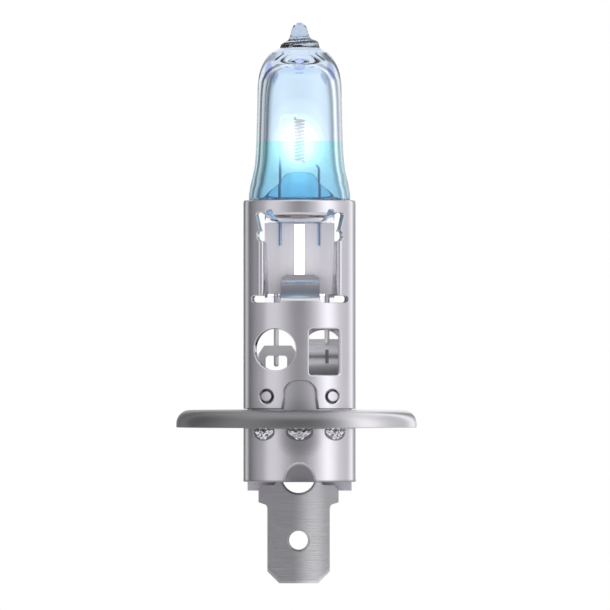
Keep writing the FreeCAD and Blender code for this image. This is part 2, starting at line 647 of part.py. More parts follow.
def make_flange():
    body = new_body("Flange")
    plate = body_sketch(body, "FlangeOutline", "XY_Plane", flange_outline(0))
    feature(body, "Pad", "FlangePlate", plate, Length="Dims.flange_depth", Reversed=True)
    solid = body.Tip
    edges = [f"Edge{i + 1}" for i, edge in enumerate(solid.Shape.Edges)
             if abs(edge.BoundBox.ZMin) < 1e-6 and abs(edge.BoundBox.ZMax) < 1e-6]
    crown = body.newObject("PartDesign::Fillet", "FlangeCrown")
    crown.Base = (solid, edges)
    crown.setExpression("Radius", "Dims.flange_round")
    body.Tip = crown
    doc.recompute()
    hollow = body_sketch(body, "FlangeHollow", "XY_Plane",
                         flange_outline(size_of("flange_sheet") + 0.14)
                         + [circle(0, 0, size_of("hub_radius"))], level="-Dims.flange_depth")
    feature(body, "Pocket", "FlangeUnderside", hollow, Reversed=True,
            Length="Dims.flange_depth - Dims.flange_sheet")
    mouth = body_sketch(body, "FlangeMouth", "XY_Plane", [circle(0, 0, size_of("collar_radius"))],
                        level="1")
    feature(body, "Pocket", "FlangeBore", mouth, Length="Dims.flange_depth + 2")
    seat = body_sketch(body, "BarrelSeat", "XY_Plane", [circle(0, 0, size_of("seat_radius"))],
                       level="1")
    feature(body, "Pocket", "SeatRecess", seat, Length="Dims.seat_depth + 1")
    return node(body, "locating_flange")


# ---------------------------------------------------------------- insulator and terminal

def make_insulator():
    wide = cylinder("InsulatorWide", "Dims.insulator_radius", "Dims.insulator_foot",
                    "Dims.collar_foot - 0.05")
    upper = cylinder("InsulatorUpper", "Dims.collar_radius - Dims.wall - 0.02",
                     "Dims.collar_foot - 0.1", "Dims.insulator_head")
    blank = fuse("InsulatorBlank", wide, upper)
    play = "Dims.blade_play"
    centre = "Dims.blade_centre"
    front = block("FrontClear", ("-8", "8"), ("-8", f"Dims.blade_thick / 2 + {play}"),
                  ("Dims.insulator_foot - 1", "Dims.shell_foot"))
    channel = block("RearChannel", ("-Dims.channel_width / 2", "Dims.channel_width / 2"),
                    ("-8", "8"), ("Dims.insulator_foot - 1", "Dims.shell_foot + 0.25"))
    neck = block("NeckSlot", (f"{centre} - Dims.neck_width / 2 - {play}",
                              f"{centre} + Dims.neck_width / 2 + {play}"),
                 (f"-Dims.blade_thick / 2 - {play}", f"Dims.blade_thick / 2 + {play}"),
                 ("Dims.insulator_foot - 1", f"Dims.neck_head + {play}"))
    tenon = block("TenonSlot", (f"{centre} - Dims.tenon_width / 2 - {play}",
                                f"{centre} + Dims.tenon_width / 2 + {play}"),
                  (f"-Dims.blade_thick / 2 - {play}", f"Dims.blade_thick / 2 + {play}"),
                  ("Dims.neck_head - 1", "Dims.insulator_head + 1"))
    keys = []
    for tag, way in (("Front", -1), ("Back", 1)):
        egg = doc.addObject("Part::Ellipsoid", "Key" + tag)
        egg.Radius1, egg.Radius2, egg.Radius3 = 2.46, 2.11, 1.39
        egg.setExpression("Placement.Base.y", f"{way} * (Dims.barrel_radius + 0.12)")
        egg.setExpression("Placement.Base.z", "Dims.shell_foot - 0.02")
        keys.append(egg)
    doc.recompute()
    return node(cut("Insulator", blank,
                    fuse("InsulatorCuts", front, channel, neck, tenon, *keys)), "insulator")


def make_blade():
    body = new_body("Blade")
    centre, foot = size_of("blade_centre"), size_of("blade_foot")
    half, corner = size_of("blade_width") / 2, size_of("blade_corner")
    shoulder, neck = size_of("shoulder_width") / 2, size_of("neck_width") / 2
    tenon = size_of("tenon_width") / 2
    top, under = size_of("shoulder_head"), size_of("shoulder_foot")
    right = [(tenon, size_of("tenon_head"), 0.2), (tenon, size_of("neck_head")),
             (neck, size_of("neck_head"), 0.3), (neck, top, 0.35), (shoulder - 0.45, top, 0.1),
             (shoulder, top - 0.52), (shoulder, under - 0.02), (half + 0.12, under - 0.28, 0.25),
             (half, under - 0.62, 0.2), (half, foot + corner), (half - corner, foot)]
    corners = [(centre + x, z, *rest) for x, z, *rest in right]
    corners += [(centre - x, z, *rest) for x, z, *rest in reversed(right)]
    plate = body_sketch(body, "BladeOutline", "XZ_Plane", rounded(corners))
    feature(body, "Pad", "BladePlate", plate, Length="Dims.blade_thick", Midplane=True)
    solid = body.Tip
    tip_edges = [f"Edge{i + 1}" for i, edge in enumerate(solid.Shape.Edges)
                 if edge.BoundBox.ZMax < foot + corner + 1e-6 and edge.BoundBox.YLength < 1e-6]
    bevel = body.newObject("PartDesign::Chamfer", "InsertionBevel")
    bevel.Base = (solid, tip_edges)
    bevel.ChamferType = "Two distances"
    bevel.Size = bevel.Size2 = size_of("blade_bevel")
    body.Tip = bevel
    doc.recompute()
    holes = body_sketch(body, "BladeHoles", "XZ_Plane", [
        circle(centre, size_of("detent_level"), size_of("detent_radius")),
        circle(centre, size_of("lock_hole_level"), size_of("lock_hole_radius"))])
    feature(body, "Pocket", "BladeBores", holes, Length="Dims.blade_thick + 1", Midplane=True)
    solid = body.Tip
    rims = [f"Edge{i + 1}" for i, edge in enumerate(solid.Shape.Edges)
            if edge.Curve.TypeId == "Part::GeomCircle" and edge.Curve.Radius > 0.9
            and edge.isClosed()]
    rim = body.newObject("PartDesign::Chamfer", "CoinedRims")
    rim.Base = (solid, rims)
    rim.setExpression("Size", "Dims.detent_ring - Dims.detent_radius")
    rim.ChamferType = "Equal distance"
    body.Tip = rim
    doc.recompute()
    return node(body, "terminal_blade")


def make_lug():
    """The strip that carries the current from the blade's tenon up to the live wire."""
    body = new_body("Lug")
    left, right = size_of("lug_left"), size_of("lug_right")
    face, head, foot = size_of("lug_face"), size_of("lug_head"), size_of("lug_foot")
    thick, centre = size_of("lug_sheet"), size_of("blade_centre")
    floor = body_sketch(body, "LugFloor", "XY_Plane", rounded(
        [(-1.70, -1.05, 0.4), (right, -1.05, 0.4), (right, face + thick), (left, face + thick),
         (-1.70, face + thick, 0.4)]), level="Dims.lug_foot")
    feature(body, "Pad", "LugFloorPlate", floor, Length="Dims.lug_sheet")
    front = [(face, 6.62), (face - 0.16, 6.52), (face - 0.36, 6.28), (face - 0.42, 5.98),
             (face - 0.34, 5.62), (face - 0.07, 5.40)]
    lower = [(face - 0.07, 5.36), (face - 0.36, 5.14), (face - 0.50, 4.80), (face - 0.46, 4.40),
             (face - 0.28, 4.00), (face, 3.60)]
    back = [(face + thick, 3.35), (face + thick - 0.30, 3.95), (face + thick - 0.42, 4.50),
            (face + thick - 0.38, 4.92), (face + thick, 5.38), (face + thick - 0.32, 5.80),
            (face + thick - 0.30, 6.10), (face + thick, 6.62)]
    riser = body_sketch(body, "LugRiser", "YZ_Plane", [
        line((face, head), (face, 6.62)), curve(front), line(front[-1], lower[0]),
        curve(lower), line((face, 3.60), (face, foot)), line((face, foot), (face + thick, foot)),
        line((face + thick, foot), back[0]), curve(back), line(back[-1], (face + thick, head)),
        line((face + thick, head), (face, head))], level="Dims.lug_left")
    feature(body, "Pad", "LugStrip", riser, Length="Dims.lug_right - Dims.lug_left")
    groove = body_sketch(body, "LugGroove", "XZ_Plane", rounded(
        [(2.595, 4.66, 0.05), (2.945, 4.66, 0.05), (2.945, 6.12, 0.05), (2.595, 6.12, 0.05)]),
        level="-(Dims.lug_face - Dims.lug_groove)")
    feature(body, "Pocket", "LugGrooveCut", groove, Reversed=True, Length=2.0)
    half, play = size_of("tenon_width") / 2, size_of("blade_play")
    deep = size_of("blade_thick") / 2 + play
    eye = body_sketch(body, "TenonEye", "XY_Plane", rounded(
        [(centre - half - play, -deep), (centre + half + play, -deep),
         (centre + half + play, deep), (centre - half - play, deep)]), level="0")
    feature(body, "Pocket", "TenonEyeCut", eye, Length=3.0)
    return node(body, "live_lug")


def make_bracket():
    """The grounded portal behind which the other outer wire ends, joined to the collar."""
    body = new_body("Bracket")
    head, thick = size_of("bracket_head"), size_of("bracket_thick")
    reach = math.sqrt((size_of("collar_radius") - size_of("wall")) ** 2 - thick ** 2) - 0.01
    outline = rounded([(-4.16, head - 0.90, 0.25), (-3.58, head, 0.2), (-0.80, head, 0.2),
                       (-0.42, head - 0.55, 0.2), (-0.42, 0.2, 0.3),
                       (-4.16, 0.2, 0.3), (-4.16, 0.6), (-reach, 0.6), (-reach, 3.0),
                       (-4.16, 3.0, 0.3)])
    opening = rounded([(-3.42, 5.48, 0.35), (-1.26, 5.48, 0.35), (-1.26, 1.4, 0.35),
                       (-3.42, 1.4, 0.35)])
    plate = body_sketch(body, "BracketOutline", "XZ_Plane", outline + opening)
    feature(body, "Pad", "BracketPlate", plate, Length="Dims.bracket_thick")
    return node(body, "ground_bracket")


make_glass()
make_foils()
make_inner_wires()
make_outer_wires()
make_filament()
make_barrel()
make_collar()
make_shell()
make_tack_welds()
make_flange()
make_insulator()
make_blade()
make_lug()
make_bracket()
doc.recompute()

for thing in doc.Objects:
    if "Invalid" in thing.State or "Error" in thing.State:
        raise RuntimeError(f"{thing.Name} did not build: {thing.State}")
for item in NODES:
    shape = item.Shape
    if shape.isNull() or not shape.isValid() or not shape.Solids:
        raise RuntimeError(f"{item.Label} has no sound solid")
    print(item.Label, len(shape.Solids), round(shape.Volume, 3), shape.BoundBox)
    shape.exportStep(f"parts/{item.Label}.step")
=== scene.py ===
import math

import bmesh
import bpy
import numpy
from mathutils import Matrix, Vector, geometry, kdtree


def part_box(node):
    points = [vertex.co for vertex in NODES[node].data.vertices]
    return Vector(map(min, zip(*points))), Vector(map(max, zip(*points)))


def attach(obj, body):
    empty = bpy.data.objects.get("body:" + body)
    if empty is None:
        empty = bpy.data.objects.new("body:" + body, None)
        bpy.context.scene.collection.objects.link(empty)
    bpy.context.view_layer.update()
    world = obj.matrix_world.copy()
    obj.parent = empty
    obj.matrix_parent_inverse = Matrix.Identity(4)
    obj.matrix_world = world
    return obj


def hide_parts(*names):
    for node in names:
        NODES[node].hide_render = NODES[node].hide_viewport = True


bl_info = {
    "name": "Headlight bulb",
    "version": (1, 0, 0),
    "blender": (4, 5, 0),
    "location": "View3D > Sidebar > Headlight Bulb",
    "description": "Builds a halogen headlight bulb: blown capsule, lit coil and plated cap",
    "category": "Object",
}

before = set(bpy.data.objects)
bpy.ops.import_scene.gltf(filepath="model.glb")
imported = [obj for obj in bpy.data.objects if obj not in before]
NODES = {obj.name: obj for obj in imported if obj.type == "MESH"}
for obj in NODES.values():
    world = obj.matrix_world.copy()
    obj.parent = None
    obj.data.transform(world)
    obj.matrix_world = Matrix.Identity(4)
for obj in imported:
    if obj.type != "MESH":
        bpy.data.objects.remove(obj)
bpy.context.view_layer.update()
MM = 0.001
BODY = "root"

GLASS_LOW, GLASS_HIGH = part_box("glass_capsule")
BARREL_LOW, BARREL_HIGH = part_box("clamp_barrel")
COIL_LOW, COIL_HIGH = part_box("filament_coil")
BLADE_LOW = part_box("terminal_blade")[0]
SHELL_LOW, SHELL_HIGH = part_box("base_shell")
FLANGE_LOW, FLANGE_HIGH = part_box("locating_flange")

# sizes from here on are in millimetres; a shader's coordinates and the settings are in metres
CAP_RADIUS = BARREL_HIGH.x / MM
SHEET = 0.40
SPOT_SIDE, SPOT_LEVEL, SPOT_RADIUS = 3.35, 1.38, 0.525
SPOT_GROOVE = 0.72
WELD_BEARING = 40.0  # degrees between neighbouring tack welds
FILM_BAND = 0.06     # half the height over which the film's edge fades
SIDE_CHORDS = 0.34   # spacing of the points in plain rolled sheet
BLACK, WHITE = (0.0, 0.0, 0.0, 1.0), (1.0, 1.0, 1.0, 1.0)


# ------------------------------------------------------------------ shader sockets

class Value:
    """One socket of a node tree. Arithmetic on it adds Math nodes."""

    def __init__(self, shader, socket):
        self.shader, self.socket = shader, socket

    def _math(self, operation, *inputs):
        settings = {"operation": operation}
        node = self.shader.node("ShaderNodeMath", settings, dict(enumerate(inputs)))
        return Value(self.shader, node.outputs[0])

    def __add__(self, other):
        return self._math("ADD", self, other)

    def __radd__(self, other):
        return self._math("ADD", other, self)

    def __sub__(self, other):
        return self._math("SUBTRACT", self, other)

    def __rsub__(self, other):
        return self._math("SUBTRACT", other, self)

    def __mul__(self, other):
        return self._math("MULTIPLY", self, other)

    def __rmul__(self, other):
        return self._math("MULTIPLY", other, self)

    def __truediv__(self, other):
        return self._math("DIVIDE", self, other)

    def __rtruediv__(self, other):
        return self._math("DIVIDE", other, self)

    def __lt__(self, other):
        return self._math("LESS_THAN", self, other)

    def __abs__(self):
        return self._math("ABSOLUTE", self)

    def over(self, other):
        """The angle of (self, other), as atan2 gives it."""
        return self._math("ARCTAN2", self, other)

    def above_zero(self):
        return self._math("MAXIMUM", self, 0.0)

    def root(self):
        return self._math("SQRT", self)

    def blend(self, low, high, to_low=0.0, to_high=1.0):
        """Carries low..high smoothly to to_low..to_high."""
        node = self.shader.node(
            "ShaderNodeMapRange", {"interpolation_type": "SMOOTHSTEP"},
            {"Value": self, "From Min": low, "From Max": high,
             "To Min": to_low, "To Max": to_high})
        return Value(self.shader, node.outputs["Result"])


class Shader:
    """A node tree that is being written, with the nodes that most finishes share."""

    def __init__(self, owner):
        owner.use_nodes = True
        self.tree = owner.node_tree
        self.tree.nodes.clear()

    def node(self, kind, settings=None, inputs=None):
        node = self.tree.nodes.new(kind)
        for name, setting in (settings or {}).items():
            if name == "stops":
                self._set_stops(node.color_ramp, setting)
            else:
                setattr(node, name, setting)
        for name, given in (inputs or {}).items():
            socket = node.inputs[name]
            if isinstance(given, Value):
                self.tree.links.new(given.socket, socket)
            elif isinstance(given, bpy.types.NodeSocket):
                self.tree.links.new(given, socket)
            else:
                socket.default_value = given
        return node

    @staticmethod
    def _set_stops(ramp, stops):
        while len(ramp.elements) < len(stops):
            ramp.elements.new(1.0)
        for element, (place, colour) in zip(ramp.elements, stops):
            element.position, element.color = place, colour

    def place(self, kind="Object"):
        """The three coordinates of a place; an object's are in metres."""
        where = self.node("ShaderNodeTexCoord")
        parts = self.node("ShaderNodeSeparateXYZ", inputs={0: where.outputs[kind]})
        return [Value(self, parts.outputs[i]) for i in range(3)]

    def point(self, x, y, z):
        node = self.node("ShaderNodeCombineXYZ", inputs={0: x, 1: y, 2: z})
        return node.outputs[0]

    def noise(self, point, scale, detail, roughness=0.5):
        node = self.node("ShaderNodeTexNoise", inputs={
            "Vector": point, "Scale": scale, "Detail": detail, "Roughness": roughness})
        return Value(self, node.outputs["Fac"])

    def mix(self, factor, first, second):
        """Mixes two colours, which are the node's seventh and eighth sockets."""
        node = self.node("ShaderNodeMix", {"data_type": "RGBA"},
                         {"Factor": factor, 6: first, 7: second})
        return node.outputs[2]

    def ramp(self, value, stops):
        node = self.node("ShaderNodeValToRGB", {"stops": stops}, {"Fac": value})
        return node.outputs["Color"]

    def bump(self, height, strength, distance):
        node = self.node("ShaderNodeBump", inputs={
            "Height": height, "Strength": strength, "Distance": distance})
        return node.outputs["Normal"]

    def principled(self, **inputs):
        named = {name.replace("_", " "): given for name, given in inputs.items()}
        shader = self.node("ShaderNodeBsdfPrincipled", inputs=named)
        self.finish(shader.outputs[0])

    def finish(self, surface=None, volume=None):
        output = self.node("ShaderNodeOutputMaterial")
        if surface is not None:
            self.tree.links.new(surface, output.inputs["Surface"])
        if volume is not None:
            self.tree.links.new(volume, output.inputs["Volume"])


def rgba(colour, gain=1.0):
    """A colour made lighter or darker by gain, as a socket takes it."""
    return (colour[0] * gain, colour[1] * gain, colour[2] * gain, 1.0)


# ------------------------------------------------------------------ finishes

def new_finish(name):
    """A material, its empty shader and the coordinates that its pattern follows."""
    material = bpy.data.materials.new(name)
    sh = Shader(material)
    return material, sh, sh.place()


def satin_nickel(name, colour, rough, streak=0.5, metal=1.0, painted_shade=None):
    """Nickel-plated sheet: soft cloudy sheen, fine upright drawing lines, faint pitting.

    The last argument, if given, tells from x, y, z where painted shade darkens the colour; the
    plating there is also rougher.
    """
    material, sh, (x, y, z) = new_finish(name)
    cloud = sh.noise(sh.point(x, y, z), 260.0, 3.0)
    drawn = sh.noise(sh.point(x * 9000.0, y * 9000.0, z * 320.0), 1.0, 2.0)
    pits = sh.noise(sh.point(x, y, z), 5200.0, 2.0)
    tone = sh.mix(cloud * 0.6 + drawn * 0.4 * streak, rgba(colour, 0.90), rgba(colour, 1.06))
    gloss = rough - 0.05 + cloud * 0.06 + drawn * 0.05 * streak
    if painted_shade:
        # painted shade: where the mask is set, the colour darkens to a third and the plating grows
        # rougher
        shaded = painted_shade(x, y, z)
        tone = sh.mix(shaded, tone, rgba(colour, 0.32))
        gloss = gloss + shaded * 0.20
    height = drawn * 0.6 * streak + pits * 0.4
    sh.principled(Base_Color=tone, Metallic=metal, Roughness=gloss,
                  Normal=sh.bump(height, 0.10, 0.04 * MM))
    return material


def either(*masks):
    """Where any of the masks is set."""
    clear = 1.0 - masks[0]
    for mask in masks[1:]:
        clear = clear * (1.0 - mask)
    return 1.0 - clear


def crank_bend_shade(x, y, z):
    """Painted shade along the stretched bend at the root of the lower tabs; the plating there is
    also rougher.
    """
    half, foot, bend, head = 2.25 * MM, 10.9 * MM, 11.9 * MM, 13.4 * MM
    return (abs(x) < half) * z.blend(foot, bend) * z.blend(head, bend) * 0.8


def reach_of(*parts):
    """How far a place lies from the middle of an ellipse, squared; its edge is at 1."""
    (offset, half), *others = parts
    reach = (offset / (half * MM)) * (offset / (half * MM))
    for offset, half in others:
        reach = reach + (offset / (half * MM)) * (offset / (half * MM))
    return reach


def shell_shade(x, y, z):
    """Painted shade in the crimp that keys the shell into the insulator, and round the welds above
    it.
    """
    dent = reach_of((x, 1.62), (z - SHELL_LOW.z, 1.95)).blend(1.15, 0.70)
    # painted shade under the tack welds, and in a ring round each of them
    zone_tone = reach_of((x, 2.3), (z + 3.0 * MM, 2.0)).blend(1.2, 0.0) * 0.65
    bearing = x.over(abs(y)) * SHELL_HIGH.x
    for step in (-1, 0, 1):
        aside = bearing - math.radians(WELD_BEARING * step) * SHELL_HIGH.x
        zone_tone = zone_tone + reach_of((aside, 1.36), (z + 2.2 * MM, 0.86)).blend(1.10, 0.94)
    # darker towards the lower edge
    foot = z.blend(SHELL_LOW.z + 0.28 * MM, SHELL_LOW.z + 0.06 * MM) * 0.8
    return 1.0 - (1.0 - dent) * (1.0 - zone_tone).above_zero() * (1.0 - foot)


def lug_shade(x, y, z):
    """Painted shade in the strip's groove, along its fold, toward its foot and a little at its
    head; the plating there is also rougher.
    """
    middle, half, low, high = 2.77 * MM, 0.17 * MM, 4.71 * MM, 6.07 * MM
    soft = 0.05 * MM
    groove = (abs(x - middle) < half) * z.blend(low - soft, low + soft)
    groove = groove * z.blend(high + soft, high - soft)
    fold = z.blend(5.62 * MM, 5.40 * MM) * z.blend(5.00 * MM, 5.36 * MM) * 0.7
    foot = z.blend(4.9 * MM, 3.5 * MM) * 0.6
    head = z.blend(6.4 * MM, 6.9 * MM) * 0.25
    return either(groove, fold, foot, head)


def flange_side_shade(x, y, z):
    """Painted shade toward one side of the flange, where the plating is also rougher."""
    return x.blend(8.0 * MM, 1.0 * MM)


def spot_groove_shade(x, y, z):
    """Painted shade in the ring grooves round the spot welds, where the plating is also rougher.
    """
    side, up = abs(x) - SPOT_SIDE * MM, z - SPOT_LEVEL * MM
    return (side * side + up * up).root().blend(0.80 * MM, 0.70 * MM)


def brushed_blade(name, colour):
    """Stamped blade, brushed across its width, with a few longer scratches and a painted sheen: a
    lighter band across it, darker toward its left.
    """
    material, sh, (x, y, z) = new_finish(name)
    fine = sh.noise(sh.point(x * 260.0, y * 260.0, z * 16000.0), 1.0, 3.0, 0.6)
    wide = sh.noise(sh.point(x * 420.0, y * 420.0, z * 5200.0), 1.0, 2.0)
    scratch = wide.blend(0.66, 0.74)
    # painted sheen: darker toward the left edge, lightest in a band right of the middle, in
    # between toward the right edge
    painted_sheen = x.blend(-0.8 * MM, 1.4 * MM) * x.blend(3.0 * MM, 1.6 * MM, 0.45, 1.0)
    tone = sh.mix(fine * 0.7 + scratch * 0.3, rgba(colour, 0.84), rgba(colour, 1.12))
    tone = sh.mix(painted_sheen, sh.mix(0.38, tone, BLACK), sh.mix(0.45, tone, WHITE))
    lines = fine * 0.06 + scratch * 0.03
    sh.principled(Base_Color=tone, Metallic=1.0, Roughness=0.30 + fine * 0.14 - scratch * 0.08,
                  Normal=sh.bump(lines, 1.0, 0.6 * MM))
    return material


def bright_weld(name, colour):
    """Weld metal that set with a shiny, rippled skin."""
    material, sh, (x, y, z) = new_finish(name)
    ripple = sh.noise(sh.point(x, y, z), 2600.0, 2.0)
    tone = sh.mix(ripple, rgba(colour, 0.80), rgba(colour, 1.12))
    sh.principled(Base_Color=tone, Metallic=1.0, Roughness=0.10 + ripple * 0.14,
                  Normal=sh.bump(ripple, 0.15, 0.08 * MM))
    return material


def rolled_foil(name, colour):
    """Rolled molybdenum, grey and half matt, with faint lengthwise rolling marks."""
    material, sh, (x, y, z) = new_finish(name)
    rolled = sh.noise(sh.point(x * 5000.0, y * 5000.0, z * 260.0), 1.0, 2.0)
    tone = sh.mix(rolled, rgba(colour, 0.90), rgba(colour, 1.06))
    sh.principled(Base_Color=tone, Metallic=0.10, Roughness=0.50 + rolled * 0.10)
    return material


def drawn_wire(name, colour, rough=0.28, metal=1.0, painted_glare=False):
    """Drawn wire with fine lines along it; with the last argument set, it carries a painted glow
    near the coil.
    """
    material, sh, (x, y, z) = new_finish(name)
    lines = sh.noise(sh.point(x * 14000.0, y * 14000.0, z * 500.0), 1.0, 2.0)
    tone = sh.mix(lines, rgba(colour, 0.84), rgba(colour, 1.08))
    inputs = {}
    if painted_glare:
        # painted glare: the upper ends and the bends nearest the coil give off light of their own;
        # it is cyan in the film
        glare = either(z.blend(COIL_LOW.z - 0.6 * MM, COIL_LOW.z + 1.6 * MM),
                       abs(x).blend(1.80 * MM, 1.45 * MM))
        in_film, above_film = (0.58, 0.88, 0.96, 1.0), (0.82, 0.90, 0.97, 1.0)
        glow = sh.mix(z.blend(26.8 * MM, 27.4 * MM), in_film, above_film)
        inputs["Emission_Color"] = sh.mix(glare, BLACK, glow)
        inputs["Emission_Strength"] = 1.0
    sh.principled(Base_Color=tone, Metallic=metal, Roughness=rough + lines * 0.12, **inputs)
    return material


def steatite(name, colour):
    """Fired steatite: pale, matt, with a fine grain and a few darker specks."""
    material, sh, (x, y, z) = new_finish(name)
    grain = sh.noise(sh.point(x, y, z), 4200.0, 4.0, 0.6)
    specks = sh.noise(sh.point(x, y, z), 1500.0, 2.0).blend(0.68, 0.76)
    tone = sh.mix(grain * 0.5 + specks * 0.5, rgba(colour, 1.03), rgba(colour, 0.86))
    sh.principled(Base_Color=tone, Roughness=0.52 + grain * 0.14,
                  Normal=sh.bump(grain, 0.25, 0.05 * MM))
    return material


def tinted_quartz(name, settings, index):
    """Quartz with a blue film: cyan up to one sharp level, lavender above it.

    index is the refractive index; a lower one stands for faces that melted together softly.
    """
    material, sh, (x, _, z) = new_finish(name)
    edge, foot = settings.film_edge, settings.film_foot
    rise = z.blend(foot, edge)
    cyan = sh.mix(rise, (*settings.film_deep, 1.0), (*settings.film_light, 1.0))
    upper = z.blend(GLASS_HIGH.z - 4.9 * MM, GLASS_HIGH.z - 3.2 * MM)
    lavender = sh.mix(upper, (*settings.dome_light, 1.0), (*settings.dome_deep, 1.0))
    # the film pooled in a leaning streak on each shoulder, and in one across the dome's top
    streak = abs(x) - 3.15 * MM - (34.3 * MM - z) * 0.22
    on_shoulders = reach_of((streak, 0.42), (z - 34.2 * MM, 1.1)).blend(1.0, 0.35)
    on_top = reach_of((x, 0.75), (z - 35.3 * MM, 0.26)).blend(1.0, 0.4)
    lavender = sh.mix(on_shoulders + on_top, lavender, (*settings.dome_pool, 1.0))
    film = sh.mix(z.blend(edge - FILM_BAND * MM, edge + FILM_BAND * MM), cyan, lavender)
    clear = z.blend(foot - 0.4 * MM, foot)
    tone = sh.mix(clear, (*settings.pinch_tint, 1.0), film)
    sh.principled(Base_Color=tone, Transmission_Weight=1.0, Roughness=0.0, IOR=index)
    return material


def lit_tungsten(name, settings):
    """White-hot tungsten, hotter in the middle of the coil than at its tails."""
    material, sh, (_, _, z) = new_finish(name)
    low, high = COIL_LOW.z, COIL_HIGH.z
    middle = z.blend(low, low + 0.9 * MM) * z.blend(high, high - 0.9 * MM)
    zone_tone = sh.mix(middle, (0.9, 0.55, 0.28, 1.0), (*settings.coil_colour, 1.0))
    sh.principled(Base_Color=(0.35, 0.34, 0.33, 1.0), Metallic=1.0, Roughness=0.4,
                  Emission_Color=zone_tone, Emission_Strength=settings.coil_power)
    return material


def painted_glow(name, power):
    """Painted glow round the coil: no surface, only a faint even light of its own."""
    material = bpy.data.materials.new(name)
    sh = Shader(material)
    clear = sh.node("ShaderNodeBsdfTransparent")
    light = sh.node("ShaderNodeEmission", inputs={"Color": WHITE, "Strength": power})
    sh.finish(clear.outputs[0], light.outputs[0])
    return material


def pale_floor(name):
    """Pale matt paper, very slightly uneven."""
    material, sh, (x, y, z) = new_finish(name)
    soft = sh.noise(sh.point(x, y, z), 3.0, 2.0)
    tone = sh.mix(soft, (0.86, 0.86, 0.87, 1.0), (0.90, 0.90, 0.91, 1.0))
    sh.principled(Base_Color=tone, Roughness=0.8)
    return material


# ------------------------------------------------------------------ mesh helpers

def new_piece(mesh, finishes, slot, *nodes):
    """Links a mesh as a piece of the bulb, in place of the CAD nodes it stands for."""
    for finish in finishes:
        mesh.materials.append(finish)
    piece = bpy.data.objects.new(mesh.name, mesh)
    bpy.context.scene.collection.objects.link(piece)
    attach(piece, BODY)
    if nodes:
        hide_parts(*nodes)
    return piece


def give_finish(node, finish):
    """Puts one finish on a CAD node."""
    NODES[node].data.materials.clear()
    NODES[node].data.materials.append(finish)


def smooth_line(points, spans):
    """Points along a smooth curve through the given ones, with so many spans between each two."""
    line = []
    last = len(points) - 1
    for i in range(last):
        a, b, c, d = (points[max(0, min(last, i + k))] for k in (-1, 0, 1, 2))
        for span in range(spans):
            s = span / spans
            line.append(tuple(
                0.5 * ((2 * q) + (r - p) * s + (2 * p - 5 * q + 4 * r - t) * s ** 2
                       + (3 * q - p - 3 * r + t) * s ** 3)
                for p, q, r, t in zip(a, b, c, d)))
    line.append(tuple(points[last]))
    return line


def smooth_step(value, low, high):
    """0 below low, 1 above high, smooth between them."""
    s = min(1.0, max(0.0, (value - low) / (high - low)))
    return s * s * (3 - 2 * s)


def along_table(table, value):
    """Reads a table of (place, height) pairs that falls in place, with a smooth curve."""
    if value >= table[0][0]:
        return table[0][1]
    last = len(table) - 1
    for i in range(last):
        if value >= table[i + 1][0]:
            a, b, c, d = (table[max(0, min(last, i + k))][1] for k in (-1, 0, 1, 2))
            s = (table[i][0] - value) / (table[i][0] - table[i + 1][0])
            return 0.5 * (2 * b + (c - a) * s + (2 * a - 5 * b + 4 * c - d) * s * s
                          + (3 * b - a - 3 * c + d) * s ** 3)
    return table[last][1]


def squircle(half_x, half_y, power, angle):
    """A point of a rounded rectangle that is a circle at power 2."""
    c, s = math.cos(angle), math.sin(angle)
    return (half_x * math.copysign(abs(c) ** (2 / power), c),
            half_y * math.copysign(abs(s) ** (2 / power), s))


def rounded(corners):
    """A closed outline from (a, b, radius) corners; round ones become chords of 10 degrees."""
    outline = []
    count = len(corners)
    for i, (a, b, *rest) in enumerate(corners):
        here = Vector((a, b))
        if not rest:
            outline.append((a, b))
            continue
        before = (Vector(corners[i - 1][:2]) - here).normalized()
        after = (Vector(corners[(i + 1) % count][:2]) - here).normalized()
        half = before.angle(after) / 2
        run = rest[0] / math.tan(half)
        centre = here + (before + after).normalized() * (rest[0] / math.sin(half))
        start, end = here + before * run - centre, here + after * run - centre
        angle = math.atan2(start.y, start.x)
        sweep = (math.atan2(end.y, end.x) - angle + math.pi) % (2 * math.pi) - math.pi
        chords = max(2, math.ceil(abs(sweep) / math.radians(10.0)))
        outline += [(centre.x + rest[0] * math.cos(angle + sweep * k / chords),
                     centre.y + rest[0] * math.sin(angle + sweep * k / chords))
                    for k in range(chords + 1)]
    return outline


def box_hole(left, right, foot, head):
    """A four-sided outline with rounded corners."""
    corners = ((left, foot), (right, foot), (right, head), (left, head))
    return rounded([(*corner, 0.3) for corner in corners])


def ring(a, b, radius, chords=48):
    """A round outline about (a, b)."""
    return [(a + radius * math.cos(2 * math.pi * i / chords),
             b + radius * math.sin(2 * math.pi * i / chords)) for i in range(chords)]


def steps(low, high, gap):
    """Even steps from low to high, about gap apart."""
    count = max(1, round((high - low) / gap))
    return [low + (high - low) * i / count for i in range(count + 1)]


def skin_rings(bm, rings):
    """Skins rings of equal length, and closes each end with one middle vertex."""
    loops = [[bm.verts.new(place) for place in loop] for loop in rings]
    count = len(loops[0])
    for lower, upper in zip(loops, loops[1:]):
        for i in range(count):
            j = (i + 1) % count
            bm.faces.new((lower[i], lower[j], upper[j], upper[i]))
    for loop, flip in ((loops[0], True), (loops[-1], False)):
        centre = bm.verts.new(sum((v.co for v in loop), Vector()) / count)
        for i in range(count):
            j = (i + 1) % count
            face = (loop[j], loop[i], centre) if flip else (loop[i], loop[j], centre)
            bm.faces.new(face)


def finished_mesh(name, bm, smooth_angle=None):
    """Turns bm into a smooth mesh, with sharp edges beyond smooth_angle degrees."""
    mesh = bpy.data.meshes.new(name)
    bm.to_mesh(mesh)
    bm.free()
    for polygon in mesh.polygons:
        polygon.use_smooth = True
    if smooth_angle is not None:
        mesh.set_sharp_from_angle(angle=math.radians(smooth_angle))
    return mesh


